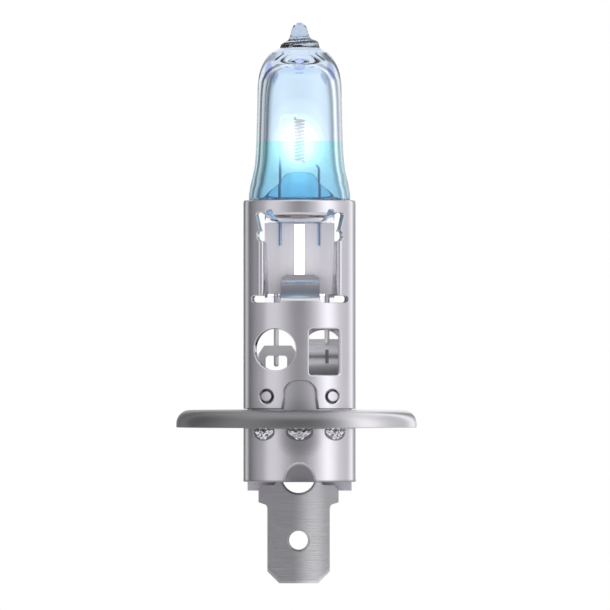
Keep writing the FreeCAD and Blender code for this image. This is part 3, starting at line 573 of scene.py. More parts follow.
def smooth_mesh(name, points, faces, normals):
    """A mesh with the given normal at each of its points."""
    mesh = bpy.data.meshes.new(name)
    mesh.from_pydata(points, [], faces)
    for polygon in mesh.polygons:
        polygon.use_smooth = True
    mesh.normals_split_custom_set_from_vertices(normals)
    return mesh


# ------------------------------------------------------------------ sheet metal

def drawn_in(chain, inset, closed):
    """Moves a chain to its left by inset; also gives the way that is outward at each point."""
    moved, outward = [], []
    count = len(chain)
    for i, here in enumerate(chain):
        before = chain[i - 1] if closed or i else None
        after = chain[(i + 1) % count] if closed or i < count - 1 else None
        ways = [Vector(q) - Vector(p) for p, q in ((before, here), (here, after))
                if p is not None and q is not None]
        rights = [Vector((way.y, -way.x)).normalized() for way in ways]
        out = sum(rights, Vector((0, 0))).normalized()
        outward.append(out)
        reach = inset / max(0.5, out.dot(rights[0]))
        moved.append((here[0] - out.x * reach, here[1] - out.y * reach))
    return moved, outward


def inside(points, loops):
    """Which of the points lie in the metal: inside an odd number of the loops."""
    points = numpy.array(points)
    odd = numpy.zeros(len(points), dtype=bool)
    for loop in loops:
        for (xa, ya), (xb, yb) in zip(loop, loop[1:] + loop[:1]):
            if ya == yb:
                continue
            level = (points[:, 1] < ya) != (points[:, 1] < yb)
            odd ^= level & (points[:, 0] < xa + (points[:, 1] - ya) * (xb - xa) / (yb - ya))
    return odd


def clear_of(points, loops, gap):
    """Leaves out the points that crowd the loops' own points."""
    tree = kdtree.KDTree(sum(len(loop) for loop in loops))
    for i, place in enumerate(place for loop in loops for place in loop):
        tree.insert((*place, 0), i)
    tree.balance()
    return [point for point in points if tree.find((*point, 0))[2] > gap]


def filled_in(chain, closed, gap):
    """Adds points to a chain's long runs."""
    result = []
    last = len(chain) if closed else len(chain) - 1
    for i in range(last):
        (xa, ya), (xb, yb) = chain[i], chain[(i + 1) % len(chain)]
        parts = max(1, math.ceil(math.hypot(xb - xa, yb - ya) / gap))
        result += [(xa + (xb - xa) * k / parts, ya + (yb - ya) * k / parts) for k in range(parts)]
    return result if closed else result + [chain[-1]]


class RolledSheet:
    """Sheet metal, laid out flat and then bent to a surface, with that surface's true normals.

    The sheet closes on itself: it reaches from start to start + girth, and its ends are one line.
    foot and head are its lower and upper edges from left to right, and holes are closed loops,
    each with how far its edge is rounded.
    """

    edge_parts = 3
    probe = 1e-3  # how far apart the surface is felt for its direction

    def __init__(self, thickness, edge, surface):
        self.thickness, self.edge, self.surface = thickness, edge, surface
        self.points, self.normals, self.faces, self.known = [], [], [], {}

    def vertex(self, a, b, lift, tilt):
        """A point lifted off the surface, whose normal leans by tilt: across, along, outward."""
        probe, surface = self.probe, self.surface
        across = (surface(a + probe, b) - surface(a - probe, b)).normalized()
        along = (surface(a, b + probe) - surface(a, b - probe)).normalized()
        outward = across.cross(along).normalized()
        point = surface(a, b) + outward * lift
        key = tuple(round(c, 4) for c in point)
        if key not in self.known:
            self.known[key] = len(self.points)
            self.points.append(point * MM)
            normal = across * tilt[0] + along * tilt[1] + outward * tilt[2]
            self.normals.append(normal.normalized())
        return self.known[key]

    def face(self, *corners):
        """Adds a face, unless its corners have run together."""
        kept = [c for i, c in enumerate(corners) if c != corners[i - 1]]
        if len(set(kept)) == len(kept) > 2:
            self.faces.append(kept)

    def round_edge(self, chain, edge, closed):
        """The rounded cut edge that joins the outer and the inner face."""
        half, rows = self.thickness / 2, []
        for side in (1, -1):
            turns = [i / self.edge_parts for i in range(self.edge_parts + 1)]
            for turn in turns if side > 0 else reversed(turns):
                angle = turn * math.pi / 2
                moved, outward = drawn_in(chain, edge * (1 - math.sin(angle)), closed)
                lift = side * (half - edge * (1 - math.cos(angle)))
                rows.append([self.vertex(*place, lift, (
                    out.x * math.sin(angle), out.y * math.sin(angle), side * math.cos(angle)))
                    for place, out in zip(moved, outward)])
        count = len(chain) if closed else len(chain) - 1
        for upper, lower in zip(rows, rows[1:]):
            for i in range(count):
                j = (i + 1) % len(chain)
                self.face(upper[i], lower[i], lower[j], upper[j])

    def lay(self, foot, head, holes, grid, gap):
        """Fills both faces of the sheet, and rounds its edges."""
        foot, head = filled_in(foot, False, gap), filled_in(head, False, gap)[::-1]
        holes = [(filled_in(hole, True, gap), edge) for hole, edge in holes]
        for i, (hole, edge) in enumerate(holes):
            area = sum(p[0] * q[1] - q[0] * p[1] for p, q in zip(hole, hole[1:] + hole[:1]))
            if area > 0:
                holes[i] = (hole[::-1], edge)
        low, high = drawn_in(foot, self.edge, False)[0], drawn_in(head, self.edge, False)[0]
        levels = steps(low[0][1], high[0][1], gap)[1:-1]
        outline = low + [(low[-1][0], b) for b in levels] + high
        outline += [(low[0][0], b) for b in reversed(levels)]
        loops = [outline] + [drawn_in(hole, edge, True)[0] for hole, edge in holes]
        grid = [point for point, kept in zip(grid, inside(grid, loops)) if kept]
        grid = clear_of(grid, loops, gap * 0.3)
        places = [Vector(p) for loop in loops for p in loop]
        edges, first = [], 0
        for loop in loops:
            edges += [(first + i, first + (i + 1) % len(loop)) for i in range(len(loop))]
            first += len(loop)
        places += [Vector(p) for p in grid]
        placed, _, faces, *_ = geometry.delaunay_2d_cdt(places, edges, [], 0, 1e-6)
        middles = [sum((placed[c] for c in face), Vector((0, 0))) / len(face) for face in faces]
        kept = [face for face, metal in zip(faces, inside(middles, loops)) if metal]
        for side in (1, -1):
            index = {c: self.vertex(*placed[c], side * self.thickness / 2, (0, 0, side))
                     for face in kept for c in face}
            for face in kept:
                self.face(*(index[c] for c in (face if side > 0 else reversed(face))))
        for chain, edge, closed in ((foot, self.edge, False), (head, self.edge, False),
                                    *((hole, edge, True) for hole, edge in holes)):
            self.round_edge(chain, edge, closed)

    def mesh(self, name):
        return smooth_mesh(name, self.points, self.faces, self.normals)


def mesh_grid(*patches):
    """Points of several grids: each patch is (left, right, gap, foot, head, gap)."""
    return [(a, b) for left, right, across, foot, head, along in patches
            for b in steps(foot, head, along) for a in steps(left, right, across)]


class Tube:
    """What the barrel and the shell share: a tube of sheet, opened flat along its left side."""

    radius, wall = CAP_RADIUS, SHEET
    middle = radius - wall / 2
    girth = 2 * math.pi * radius
    start, end = -girth / 4, girth * 3 / 4

    @classmethod
    def all_round(cls, level):
        """A plain edge at one level."""
        return [(cls.start, level), (cls.end, level)]

    @classmethod
    def band(cls, foot, head, gap=SIDE_CHORDS):
        """A grid all round the tube between two levels."""
        half = SIDE_CHORDS / 2
        return (cls.start + half, cls.end - half, SIDE_CHORDS, foot, head, gap)


# ------------------------------------------------------------------ the capsule's shape

class Capsule:
    """The quartz envelope, blown over a flat pinch, with the hollow inside it."""

    around, spans = 192, 6
    foot, top, radius = GLASS_LOW.z / MM, GLASS_HIGH.z / MM, GLASS_HIGH.x / MM
    pinch_x, pinch_y = 3.52, 1.60
    pinch_head, shoulder, bulb_foot = 18.9, 19.75, 20.95
    shoulder_rings = 15
    # the pinch's sections upward, as (half width, half depth, squareness, level)
    pinch = ((2.9, 1.05, 5, foot), (3.3, 1.38, 7, foot + 0.12), (3.46, 1.54, 8, foot + 0.36),
             (pinch_x, pinch_y, 9, foot + 0.8), (pinch_x, pinch_y, 9, foot + 0.95),
             (pinch_x, pinch_y, 9, 18.75), (pinch_x, pinch_y, 9, pinch_head))
    # (radius, level) up the outside, over the dome and the bead to the exhaust tip
    blown = ((radius, bulb_foot), (radius, 21.85), (4.86, 23.2), (4.60, 24.3), (4.42, 26.2),
             (4.32, 29.3), (4.25, 32.3), (4.17, 33.4), (3.93, 34.5), (3.48, 35.4),
             (2.95, 36.02), (2.35, 36.36), (2.04, 36.58), (1.96, 36.80), (1.88, 37.02),
             (1.66, 37.20), (1.30, 37.36), (1.06, 37.56), (0.94, 37.84), (0.88, 38.14),
             (0.80, 38.44), (0.64, 38.76), (0.42, 38.98), (0.16, top - 0.02))
    # (radius, level) across the hollow's floor, up its wall and over its ceiling
    hollow = ((0.02, 23.95), (0.8, 23.90), (1.3, 23.72), (1.9, 23.15), (2.7, 22.45),
              (3.5, 21.75), (4.05, 21.32), (4.30, 21.22), (4.40, 21.42), (4.28, 22.2),
              (4.02, 23.2), (3.78, 24.4), (3.60, 26.2), (3.50, 29.3), (3.38, 32.0),
              (3.10, 33.6), (2.45, 34.6), (1.35, 35.12), (0.6, 35.27), (0.02, 35.3))
    hollow_floor = 24.5
    # how far the bead under the tip leans, and where the lean starts and ends
    bead_lean, lean_foot, lean_head = 0.075, (36.3, 36.9), (37.2, 38.3)
    # faces that melted together softly: the pinch's foot and its shoulder
    soft_foot, soft_shoulder = 11.7, (18.95, 20.9)

    @classmethod
    def sections(cls):
        """The outside: the square pinch, the shoulder that opens into a circle, the bulb."""
        sections = list(cls.pinch)
        for step in range(1, cls.shoulder_rings):
            s = step / cls.shoulder_rings
            level = cls.pinch_head + (cls.bulb_foot - cls.pinch_head) * s
            opened = max(0.0, (level - cls.shoulder) / (cls.bulb_foot - cls.shoulder))
            sections.append((
                cls.pinch_x + (cls.radius - cls.pinch_x) * math.sin(opened * math.pi / 2),
                cls.pinch_y + (cls.radius - cls.pinch_y) * math.sin(s * math.pi / 2) ** 1.4,
                9 - 7 * s ** 0.6, level))
        return sections + [(r, r, 2, z) for r, z in smooth_line(cls.blown, cls.spans)]

    @classmethod
    def mesh(cls):
        bm = bmesh.new()
        turns = [2 * math.pi * i / cls.around for i in range(cls.around)]
        skins = []
        for half_x, half_y, power, level in cls.sections():
            lean = smooth_step(level, *cls.lean_foot) * (1 - smooth_step(level, *cls.lean_head))
            lean *= cls.bead_lean
            places = [squircle(half_x, half_y, power, turn) for turn in turns]
            skins.append([Vector((x, y, level + lean * x)) * MM for x, y in places])
        skin_rings(bm, skins)
        blown_faces = len(bm.faces)
        skin_rings(bm, [[Vector((r * math.cos(turn), -r * math.sin(turn), level)) * MM
                         for turn in turns]
                        for r, level in smooth_line(cls.hollow, cls.spans)])
        mesh = finished_mesh("capsule_glass", bm)
        for polygon in mesh.polygons:
            level = polygon.center.z / MM
            inner = polygon.index >= blown_faces
            floor = inner and abs(polygon.normal.z) > 0.35 and level < cls.hollow_floor
            shoulder = cls.soft_shoulder[0] < level < cls.soft_shoulder[1]
            polygon.material_index = int(floor or level < cls.soft_foot or shoulder)
        return mesh


# ------------------------------------------------------------------ the barrel's shape

class Barrel(Tube):
    """The clamp barrel's wall, opened flat: a is measured round it, b is the level."""

    foot, head, edge = BARREL_LOW.z / MM, BARREL_HIGH.z / MM, 0.09
    # how far the tabs and tongues stand to the right of the axis
    shift = 0.06
    # the lower tab: its half width, its bend, its end, and how far out it lies on the pinch
    tab_half, crank_foot, crank_head, tab_head = 2.4, 10.85, 13.15, 15.0
    grip = Capsule.pinch_y + 0.02 + SHEET / 2
    # the upper tab, drawn in steeply under the mouth and then gently
    upper_half, upper_foot, upper_bend, upper_head = 3.0, 18.0, 19.3, 19.95
    upper_draw, upper_slope = 0.50, 0.10
    # the mouth's lip: its height and how far it is rolled in
    lip, lip_tuck = 0.32, 0.08
    # the side tongues: their ends, their free edge and root, and how the bend moves those
    tongue_foot, tongue_head, tongue_edge, tongue_root = 11.4, 17.3, 3.3, 4.30
    edge_moves, root_moves = 0.19, 0.151
    # a tongue's section, from its root to its free edge, as (aside, how far back)
    tongue = ((4.30, -3.595), (4.20, -3.672), (4.10, -3.735), (4.00, -3.765), (3.90, -3.745),
              (3.80, -3.66), (3.70, -3.50), (3.60, -3.26), (3.45, -2.78), (3.30, -2.30),
              (3.14, -1.84), (2.90, -1.30))

    @classmethod
    def unrolled(cls, loop, back=False):
        """Carries an outline seen square on to the opened wall."""
        turn = math.pi * cls.radius if back else 0.0
        return [(turn + cls.radius * math.asin(x / cls.radius), z) for x, z in loop]

    @classmethod
    def surface(cls, a, b):
        """The wall in its place: rolled round, its tabs, tongues and lip drawn in."""
        turn = a / cls.radius
        back = math.cos(turn) < 0
        if back:
            turn -= math.pi
        x, y = cls.middle * math.sin(turn), -cls.middle * math.cos(turn)
        seen = cls.radius * math.sin(turn) - cls.shift
        aside = abs(seen)
        if aside < cls.tab_half and cls.crank_foot < b < cls.tab_head:
            bent = smooth_step(b, cls.crank_foot, cls.crank_head)
            y = y * (1 - bent) - cls.grip * bent
        elif aside < cls.upper_half and cls.upper_foot < b < cls.upper_head:
            draw = (cls.upper_draw * smooth_step(cls.upper_head - b, 0.0, 0.56)
                    + cls.upper_slope * max(0.0, cls.upper_bend - b))
            x, y = x * (1 - draw / cls.middle), y * (1 - draw / cls.middle)
        elif aside < cls.tongue_root and cls.tongue_foot < b < cls.tongue_head:
            blend = (aside - cls.tongue_edge) / (cls.tongue_root - cls.tongue_edge)
            aside += cls.edge_moves * (1 - blend) - cls.root_moves * blend
            x = math.copysign(aside, seen) + cls.shift
            y = along_table(cls.tongue, abs(seen))
        rise = max(0.0, b - (cls.head - cls.lip)) / cls.lip
        tuck = 1 - cls.lip_tuck * (1 - math.sqrt(max(0.0, 1 - rise * rise))) / cls.middle
        side = -1 if back else 1
        return Vector((side * x * tuck, side * y * tuck, b))

    @classmethod
    def window(cls):
        """The big opening, round the tabs and tongues that stand in it."""
        left = [(0.0, 13.69), (-2.04, 13.69, 0.75), (-2.04, 10.85, 0.20), (-4.92, 10.85, 0.33),
                (-4.92, 11.53, 0.33), (-3.14, 11.53, 0.15), (-3.26, 14.6), (-3.40, 17.08, 0.55),
                (-4.37, 17.08, 0.40), (-4.37, 18.08, 0.40), (-4.05, 18.08), (-4.52, 19.95, 0.25),
                (-3.46, 19.88), (-3.42, 20.22, 0.26), (-2.82, 20.22, 0.26), (-2.78, 19.75),
                (-2.42, 18.97, 0.42)]
        corners = [(cls.shift + x, z, *rest) for x, z, *rest in left]
        corners += [(cls.shift - x, z, *rest) for x, z, *rest in reversed(left[1:])]
        return rounded(corners)

    @classmethod
    def mesh(cls):
        arch = rounded([(-3.0, cls.foot), (-1.80, cls.foot, 0.12), (-1.66, 1.2, 0.6),
                        (-1.66, 2.98, 1.40), (1.78, 2.98, 1.40), (1.78, 1.2, 0.6),
                        (1.92, cls.foot, 0.12), (3.0, cls.foot)])
        left, right = cls.all_round(cls.foot)
        foot = [left, *cls.unrolled(arch), *cls.unrolled(arch, True), right]
        soft, softer = 0.12, 0.18
        holes = [(cls.unrolled(ring(-2.49, 6.10, 2.10)), soft),
                 (cls.unrolled(box_hole(0.99, 4.09, 3.55, 8.16)), softer),
                 (cls.unrolled(ring(-2.49, 5.86, 2.20), True), soft),
                 (cls.unrolled(box_hole(0.35, 4.75, 3.40, 8.30), True), softer)]
        patches = [cls.band(cls.foot + 0.3, cls.head - 0.5),
                   cls.band(cls.head - 0.34, cls.head - 0.12, 0.035)]
        tongue = [cls.radius * math.asin(x / cls.radius) for x in (3.0, 4.55)]
        for back in (False, True):
            holes.append((cls.unrolled(filled_in(cls.window(), True, 0.12), back), cls.edge))
            holes += [(cls.unrolled(ring(x, SPOT_LEVEL, SPOT_GROOVE, 36), back), soft)
                      for x in (-SPOT_SIDE, SPOT_SIDE)]
            middle = cls.girth / 2 if back else 0.0
            patches.append((middle - 2.2, middle + 2.2, 0.22, cls.crank_foot, 13.6, 0.09))
            patches.append((middle - 3.0, middle + 3.0, 0.22, 19.02, 20.0, 0.05))
            for side in (-1, 1):
                patches.append((middle + side * tongue[0], middle + side * tongue[1], 0.05,
                                11.6, 17.0, 0.40))
        wall = RolledSheet(cls.wall, cls.edge, cls.surface)
        wall.lay(foot, cls.all_round(cls.head), holes, mesh_grid(*patches), SIDE_CHORDS)
        return wall.mesh("clamp_barrel_wall")


# ------------------------------------------------------------------ the cap's other shapes

class Shell(Tube):
    """The tube under the flange, crimped inward front and back at its foot."""

    foot, head, edge = SHELL_LOW.z / MM, SHELL_HIGH.z / MM, 0.10
    # the crimp: its half width and height, its depth, and how softly it starts
    dent_half, dent_head, dent_depth, dent_rim, dent_soft = 1.67, 2.02, 0.95, 0.12, 0.2

    @classmethod
    def surface(cls, a, b):
        """The tube in its place, with the crimp pressed in."""
        turn = a / cls.radius
        x = cls.radius * math.sin(turn)
        reach = (x / cls.dent_half) ** 2 + ((b - cls.foot) / cls.dent_head) ** 2
        depth = max(0.0, cls.dent_depth * math.sqrt(max(0.0, 1 - reach)) - cls.dent_rim)
        depth = math.hypot(depth, cls.dent_soft) - cls.dent_soft
        side = 1 if math.cos(turn) > 0 else -1
        return Vector((cls.middle * math.sin(turn),
                       -cls.middle * math.cos(turn) + side * depth, b))

    @classmethod
    def mesh(cls):
        patches = [cls.band(cls.foot + 0.3, cls.head - 0.3)]
        for middle in (0.0, cls.girth / 2):
            patches.append((middle - 2.0, middle + 2.0, 0.09,
                            cls.foot + 0.13, cls.foot + 2.3, 0.09))
        foot = [(a, cls.foot) for a in steps(cls.start, cls.start + cls.girth, 0.10)]
        tube = RolledSheet(cls.wall, cls.edge, cls.surface)
        tube.lay(foot, cls.all_round(cls.head), [], mesh_grid(*patches), SIDE_CHORDS)
        return tube.mesh("base_shell_tube")


def weighted_normals(outline):
    """The outward way at each point of a closed outline that runs with the metal on its left."""
    ways = []
    for (xa, ya), (xb, yb) in zip(outline, outline[1:] + outline[:1]):
        ways.append(Vector((yb - ya, xa - xb)))
    return [(ways[i - 1] + ways[i]).normalized() for i in range(len(outline))]


class Flange:
    """The dished flange: a turned shape whose rim has one flat."""

    radius, flat = -FLANGE_LOW.x / MM, FLANGE_HIGH.x / MM
    # its sheet, the rounding of its upper rim, and how thick the rim's skirt is
    sheet, crown, skirt = 0.60, 1.38, 0.74
    # the levels of the rim's foot and of the step that the barrel stands on
    foot, seat_level = -1.77, -0.10
    # the radii of the bore, of that step and of the hub's outside
    bore, seat, hub = 5.28, 5.95, 6.30
    flat_spokes, round_spokes = 16, 240

    @classmethod
    def rim(cls, inset, part, on_flat):
        """A place on the rim drawn in by inset, and the way it faces; part runs from 0 to 1."""
        radius, flat = cls.radius - inset, cls.flat - inset
        corner = math.acos(flat / radius)
        if on_flat:
            bearing = corner * (2 * part - 1)
            return Vector((flat, flat * math.tan(bearing))), Vector((1, 0))
        bearing = corner + (2 * math.pi - 2 * corner) * part
        way = Vector((math.cos(bearing), math.sin(bearing)))
        return way * radius, way

    @classmethod
    def mesh(cls):
        foot, under, low, wide = cls.foot, -cls.sheet, cls.seat_level, cls.radius
        # across the ring from its bore outward; the flat only touches what lies beyond the hub
        outline = rounded([
            (cls.bore, low, 0.05), (cls.bore, foot, 0.05), (cls.hub, foot, 0.08),
            (cls.hub, under, 0.05), (wide - cls.skirt, under, 0.05),
            (wide - cls.skirt, foot, 0.05), (wide, foot, 0.09), (wide, 0.0, cls.crown),
            (cls.seat, 0.0, 0.04), (cls.seat, low, 0.03)])
        ways = weighted_normals(outline)
        spokes = [(part, True) for part in steps(0.0, 1.0, 1 / cls.flat_spokes)]
        spokes += [(part, False) for part in steps(0.0, 1.0, 1 / cls.round_spokes)]
        points, normals = [], []
        for part, on_flat in spokes:
            for (r, z), way in zip(outline, ways):
                if r > (cls.hub + wide) / 2:
                    spot, out = cls.rim(wide - r, part, on_flat)
                else:
                    out = cls.rim(0.0, part, on_flat)[0].normalized()
                    spot = out * r
                points.append(Vector((*spot, z)) * MM)
                normals.append(Vector((*(out * way.x), way.y)))
        count, faces = len(outline), []
        for i in range(len(spokes)):
            here, there = i * count, (i + 1) % len(spokes) * count
            for j in range(count):
                k = (j + 1) % count
                faces.append((here + j, there + j, there + k, here + k))
        return smooth_mesh("locating_flange_ring", points, faces, normals)


class TackWeld:
    """A tack weld: a beaded ring with splashed petals at each side, on the shell's round."""

    head, foot, half = Flange.foot, -2.97, 1.24
    # how far the weld narrows toward its foot, and between which depths
    foot_half, narrow_from, narrow_to = 0.34, 0.35, 1.25
    # the bead's level, radius, width and height, and the core inside it on a thin skin
    level, bead, bead_wide, bead_high = -2.40, 0.34, 0.12, 0.44
    core_wide, core_high, skin = 0.20, 0.14, 0.06
    # each petal's middle, aside and up, its lean in radians and its length
    petals = ((0.60, 0.30, 0.75, 0.30), (0.98, 0.28, 0.95, 0.30), (0.52, -0.22, -0.75, 0.24))
    petal_wide, petal_high = 0.12, 0.36
    # where the weld's edge starts to fall, how far it sinks in, and how deep its back lies
    rim, sunk, root = 0.10, 0.03, 0.10
    columns, rows = 44, 24

    @classmethod
    def height(cls, a, b):
        """How far the weld stands out at a aside of its middle and level b."""
        up = b - cls.level
        out = math.hypot(a, up)
        heights = [math.exp(-((out - cls.bead) / cls.bead_wide) ** 2) * cls.bead_high,
                   math.exp(-(out / cls.core_wide) ** 2) * cls.core_high + cls.skin]
        for reach, lift, lean, length in cls.petals:
            off, rise = abs(a) - reach, up - lift
            along = off * math.sin(lean) + rise * math.cos(lean)
            aside = off * math.cos(lean) - rise * math.sin(lean)
            fall = (aside / cls.petal_wide) ** 2 + (along / length) ** 4
            heights.append(cls.petal_high * math.exp(-fall))
        return max(heights)

    @classmethod
    def add(cls, bm, bearing):
        """Adds one closed weld at a bearing from the front."""
        columns, rows, radius = cls.columns, cls.rows, CAP_RADIUS
        skins = []
        for outer in (True, False):
            skin = []
            for j in range(rows + 1):
                b = cls.head + (cls.foot - cls.head) * j / rows
                narrow = smooth_step(cls.head - b, cls.narrow_from, cls.narrow_to)
                half = cls.half * (1 - narrow) + cls.foot_half * narrow
                line = []
                for i in range(columns + 1):
                    u = 2 * i / columns - 1
                    margin = min(1.0, (1 - abs(u)) * half / cls.rim, (b - cls.foot) / cls.rim)
                    lift = cls.height(u * half, b) * math.sqrt(max(0.0, margin)) - cls.sunk
                    turn = bearing + u * half / radius
                    reach = radius + (lift if outer else -cls.root)
                    line.append(bm.verts.new(Vector((
                        reach * math.sin(turn), -reach * math.cos(turn), b)) * MM))
                skin.append(line)
            skins.append(skin)
        outer, inner = skins
        for j in range(rows):
            for i in range(columns):
                corners = ((j, i), (j + 1, i), (j + 1, i + 1), (j, i + 1))
                bm.faces.new([outer[r][c] for r, c in corners])
                bm.faces.new([inner[r][c] for r, c in reversed(corners)])
        border = [(0, i) for i in range(columns)] + [(j, columns) for j in range(rows)]
        border += [(rows, i) for i in range(columns, 0, -1)] + [(j, 0) for j in range(rows, 0, -1)]
        for here, there in zip(border, border[1:] + border[:1]):
            (r, c), (s, d) = here, there
            bm.faces.new((outer[r][c], outer[s][d], inner[s][d], inner[r][c]))

    @classmethod
    def mesh(cls):
        bm = bmesh.new()
        for start in (0, 180):
            for step in (-1, 0, 1):
                cls.add(bm, math.radians(start + step * WELD_BEARING))
        return finished_mesh("flange_tack_beads", bm, 50)


def spot_weld_mesh():
    """Four plugs whose round faces stand in the ring grooves at the barrel's foot."""
    bm = bmesh.new()
    outer, inner, edge = CAP_RADIUS - 0.06, 4.88, 0.08
    turns = [k * math.pi / 10 for k in range(6)]
    rim = [(SPOT_RADIUS - edge + edge * math.sin(turn), outer - edge + edge * math.cos(turn))
           for turn in turns]
    for front in (1, -1):
        for side in (-SPOT_SIDE, SPOT_SIDE):
            rings = []
            for r, reach in [(0.15, outer), (0.32, outer), *rim, (SPOT_RADIUS, inner)]:
                loop = []
                for x, z in ring(side, SPOT_LEVEL, r, 40):
                    y = -math.sqrt(reach ** 2 - x * x)
                    loop.append(Vector((front * x, front * y, z)) * MM)
                rings.append(loop)
            skin_rings(bm, rings)
    bmesh.ops.recalc_face_normals(bm, faces=bm.faces)
    return finished_mesh("spot_weld_plugs", bm, 50)


# ------------------------------------------------------------------ light

# the painted glow round the coil, as (half width, half height, brightness)
GLOW = ((1.7, 2.0, 110.0), (2.2, 2.5, 80.0), (2.7, 3.2, 44.0), (3.2, 4.6, 22.0))
# where its middle lies from the coil's
GLOW_SIDE, GLOW_DROP = -0.1, 0.6
# brightness of the studio wall at each bearing, from behind the bulb round its front
WALLS = (
    (-180, 1.05), (-169, 1.00), (-160, 0.16), (-150, 0.10), (-145, 0.82), (-134, 0.64),
    (-126, 0.13), (-112, 0.30), (-95, 0.44), (-80, 0.54), (-68, 0.88), (-52, 0.90), (-40, 0.80),
    (-28, 0.62), (-14, 0.42), (-3, 0.36), (8, 0.40), (22, 0.60), (34, 0.82), (46, 1.18),
    (60, 1.50), (72, 1.30), (88, 0.90), (104, 0.76), (119, 0.76), (128, 1.15), (134, 1.40),
    (142, 0.85), (150, 0.30), (160, 0.50), (168, 1.05), (180, 1.05))
PEAK = max(level for angle, level in WALLS)
# cards of light outside the windows, as (aside, level, width, height)
CARDS = ((0.0, 15.4, 7.6, 7.6), (-2.5, 6.1, 3.4, 3.4), (2.5, 5.9, 2.8, 4.4))
CARD_GAP = 1.2  # from the barrel


# ------------------------------------------------------------------ settings

class BulbLooks(bpy.types.PropertyGroup):
    """Colours and light of the bulb."""

    film_edge: bpy.props.FloatProperty(
        name="Film edge", description="Level where the cyan film ends", unit="LENGTH",
        default=27.15 * MM)
    film_foot: bpy.props.FloatProperty(
        name="Film foot", description="Level where the film is deepest", unit="LENGTH",
        default=20.9 * MM)
    film_light: bpy.props.FloatVectorProperty(
        name="Film, light end", description="Cyan just under the film's edge",
        subtype="COLOR", default=(0.62, 0.93, 0.99))
    film_deep: bpy.props.FloatVectorProperty(
        name="Film, deep end", description="Cyan-blue at the barrel's mouth",
        subtype="COLOR", default=(0.50, 0.755, 0.90))
    dome_light: bpy.props.FloatVectorProperty(
        name="Dome, light end", description="Tint just above the film's edge",
        subtype="COLOR", default=(0.80, 0.905, 0.985))
    dome_deep: bpy.props.FloatVectorProperty(
        name="Dome, deep end", description="Lavender tint of the dome",
        subtype="COLOR", default=(0.62, 0.74, 0.88))
    dome_pool: bpy.props.FloatVectorProperty(
        name="Dome, pooled tint", description="Indigo where the film pooled on the shoulders",
        subtype="COLOR", default=(0.30, 0.36, 0.78))
    pinch_tint: bpy.props.FloatVectorProperty(
        name="Pinch tint", description="Colour of the bare quartz of the pinch",
        subtype="COLOR", default=(0.93, 0.92, 0.97))
    quartz_index: bpy.props.FloatProperty(
        name="Quartz index", description="Refractive index of the quartz", default=1.458,
        min=1.0)
    soft_index: bpy.props.FloatProperty(
        name="Soft faces' index", description="Refractive index that melted-together faces show",
        default=1.04, min=1.0)
    coil_colour: bpy.props.FloatVectorProperty(
        name="Coil colour", description="Light of the hot coil",
        subtype="COLOR", default=(1.0, 0.95, 0.88))
    coil_power: bpy.props.FloatProperty(
        name="Coil power", description="Brightness of the coil", default=0.30, min=0.0)
    glow_power: bpy.props.FloatProperty(
        name="Glow power", description="Brightness of the glow round the coil",
        default=1.0, min=0.0)


class StudioSettings(bpy.types.PropertyGroup):
    """Camera and light."""

    view_width: bpy.props.FloatProperty(
        name="View width", description="Width that the camera sees at the lamp's axis",
        unit="LENGTH", default=61.6 * MM)
    view_side: bpy.props.FloatProperty(
        name="View centre, sideways", description="Where the camera aims, sideways",
        unit="LENGTH", default=0.55 * MM)
    view_level: bpy.props.FloatProperty(
        name="View centre, level", description="Height that the camera aims at",
        unit="LENGTH", default=10.6 * MM)
    lens: bpy.props.FloatProperty(
        name="Lens", description="Focal length", unit="CAMERA", default=1200.0)
    floor_drop: bpy.props.FloatProperty(
        name="Floor drop", description="Gap between the blade's tip and the floor",
        unit="LENGTH", default=380.0 * MM)
    ceiling: bpy.props.FloatProperty(
        name="Ceiling", description="Brightness of the studio overhead", default=1.25, min=0.0)
    fill: bpy.props.FloatProperty(
        name="Window fill", description="Brightness of the cards that light the barrel's inside",
        default=2.8, min=0.0)
    light_power: bpy.props.FloatProperty(
        name="Light power", description="Brightness of the studio round the bulb",
        default=1.0, min=0.0)


# ------------------------------------------------------------------ operators

class BULB_OT_capsule(bpy.types.Operator):
    """Blow the quartz capsule: exhaust tip, dome, flared foot and pressed pinch"""

    bl_idname = "bulb.capsule"
    bl_label = "Glass Capsule"

    def execute(self, context):
        looks = context.scene.bulb_looks
        finishes = (tinted_quartz("tinted_quartz", looks, looks.quartz_index),
                    tinted_quartz("soft_quartz", looks, looks.soft_index))
        new_piece(Capsule.mesh(), finishes, "glass_capsule", "glass_capsule")
        return {"FINISHED"}


class BULB_OT_coil(bpy.types.Operator):
    """Light the tungsten coil and paint a glow round it"""

    bl_idname = "bulb.coil"
    bl_label = "Lit Coil"

    def execute(self, context):
        looks = context.scene.bulb_looks
        give_finish("filament_coil", lit_tungsten("lit_tungsten", looks))
        middle = (COIL_LOW.z + COIL_HIGH.z) / 2
        for i, (across, tall, power) in enumerate(GLOW):
            bm = bmesh.new()
            bmesh.ops.create_icosphere(bm, subdivisions=4, radius=1.0)
            rise = (tall - across) * 0.3 * MM - GLOW_DROP * MM
            bm.transform(Matrix.Translation((GLOW_SIDE * MM, 0, middle + rise))
                         @ Matrix.Diagonal((across * MM, across * MM, tall * MM, 1.0)))
            finish = painted_glow(f"painted_glow_{i + 1}", power * looks.glow_power)
            new_piece(finished_mesh(f"painted_halo_{i + 1}", bm), [finish], "filament_coil")
        return {"FINISHED"}


class BULB_OT_barrel(bpy.types.Operator):
    """Stamp and roll the clamp barrel, its tabs and tongues bent in"""

    bl_idname = "bulb.barrel"
    bl_label = "Clamp Barrel"

    def execute(self, context):
        finish = satin_nickel("barrel_nickel", (0.72, 0.705, 0.745), 0.20, painted_shade=crank_bend_shade)
        new_piece(Barrel.mesh(), [finish], "clamp_barrel", "clamp_barrel")
        return {"FINISHED"}


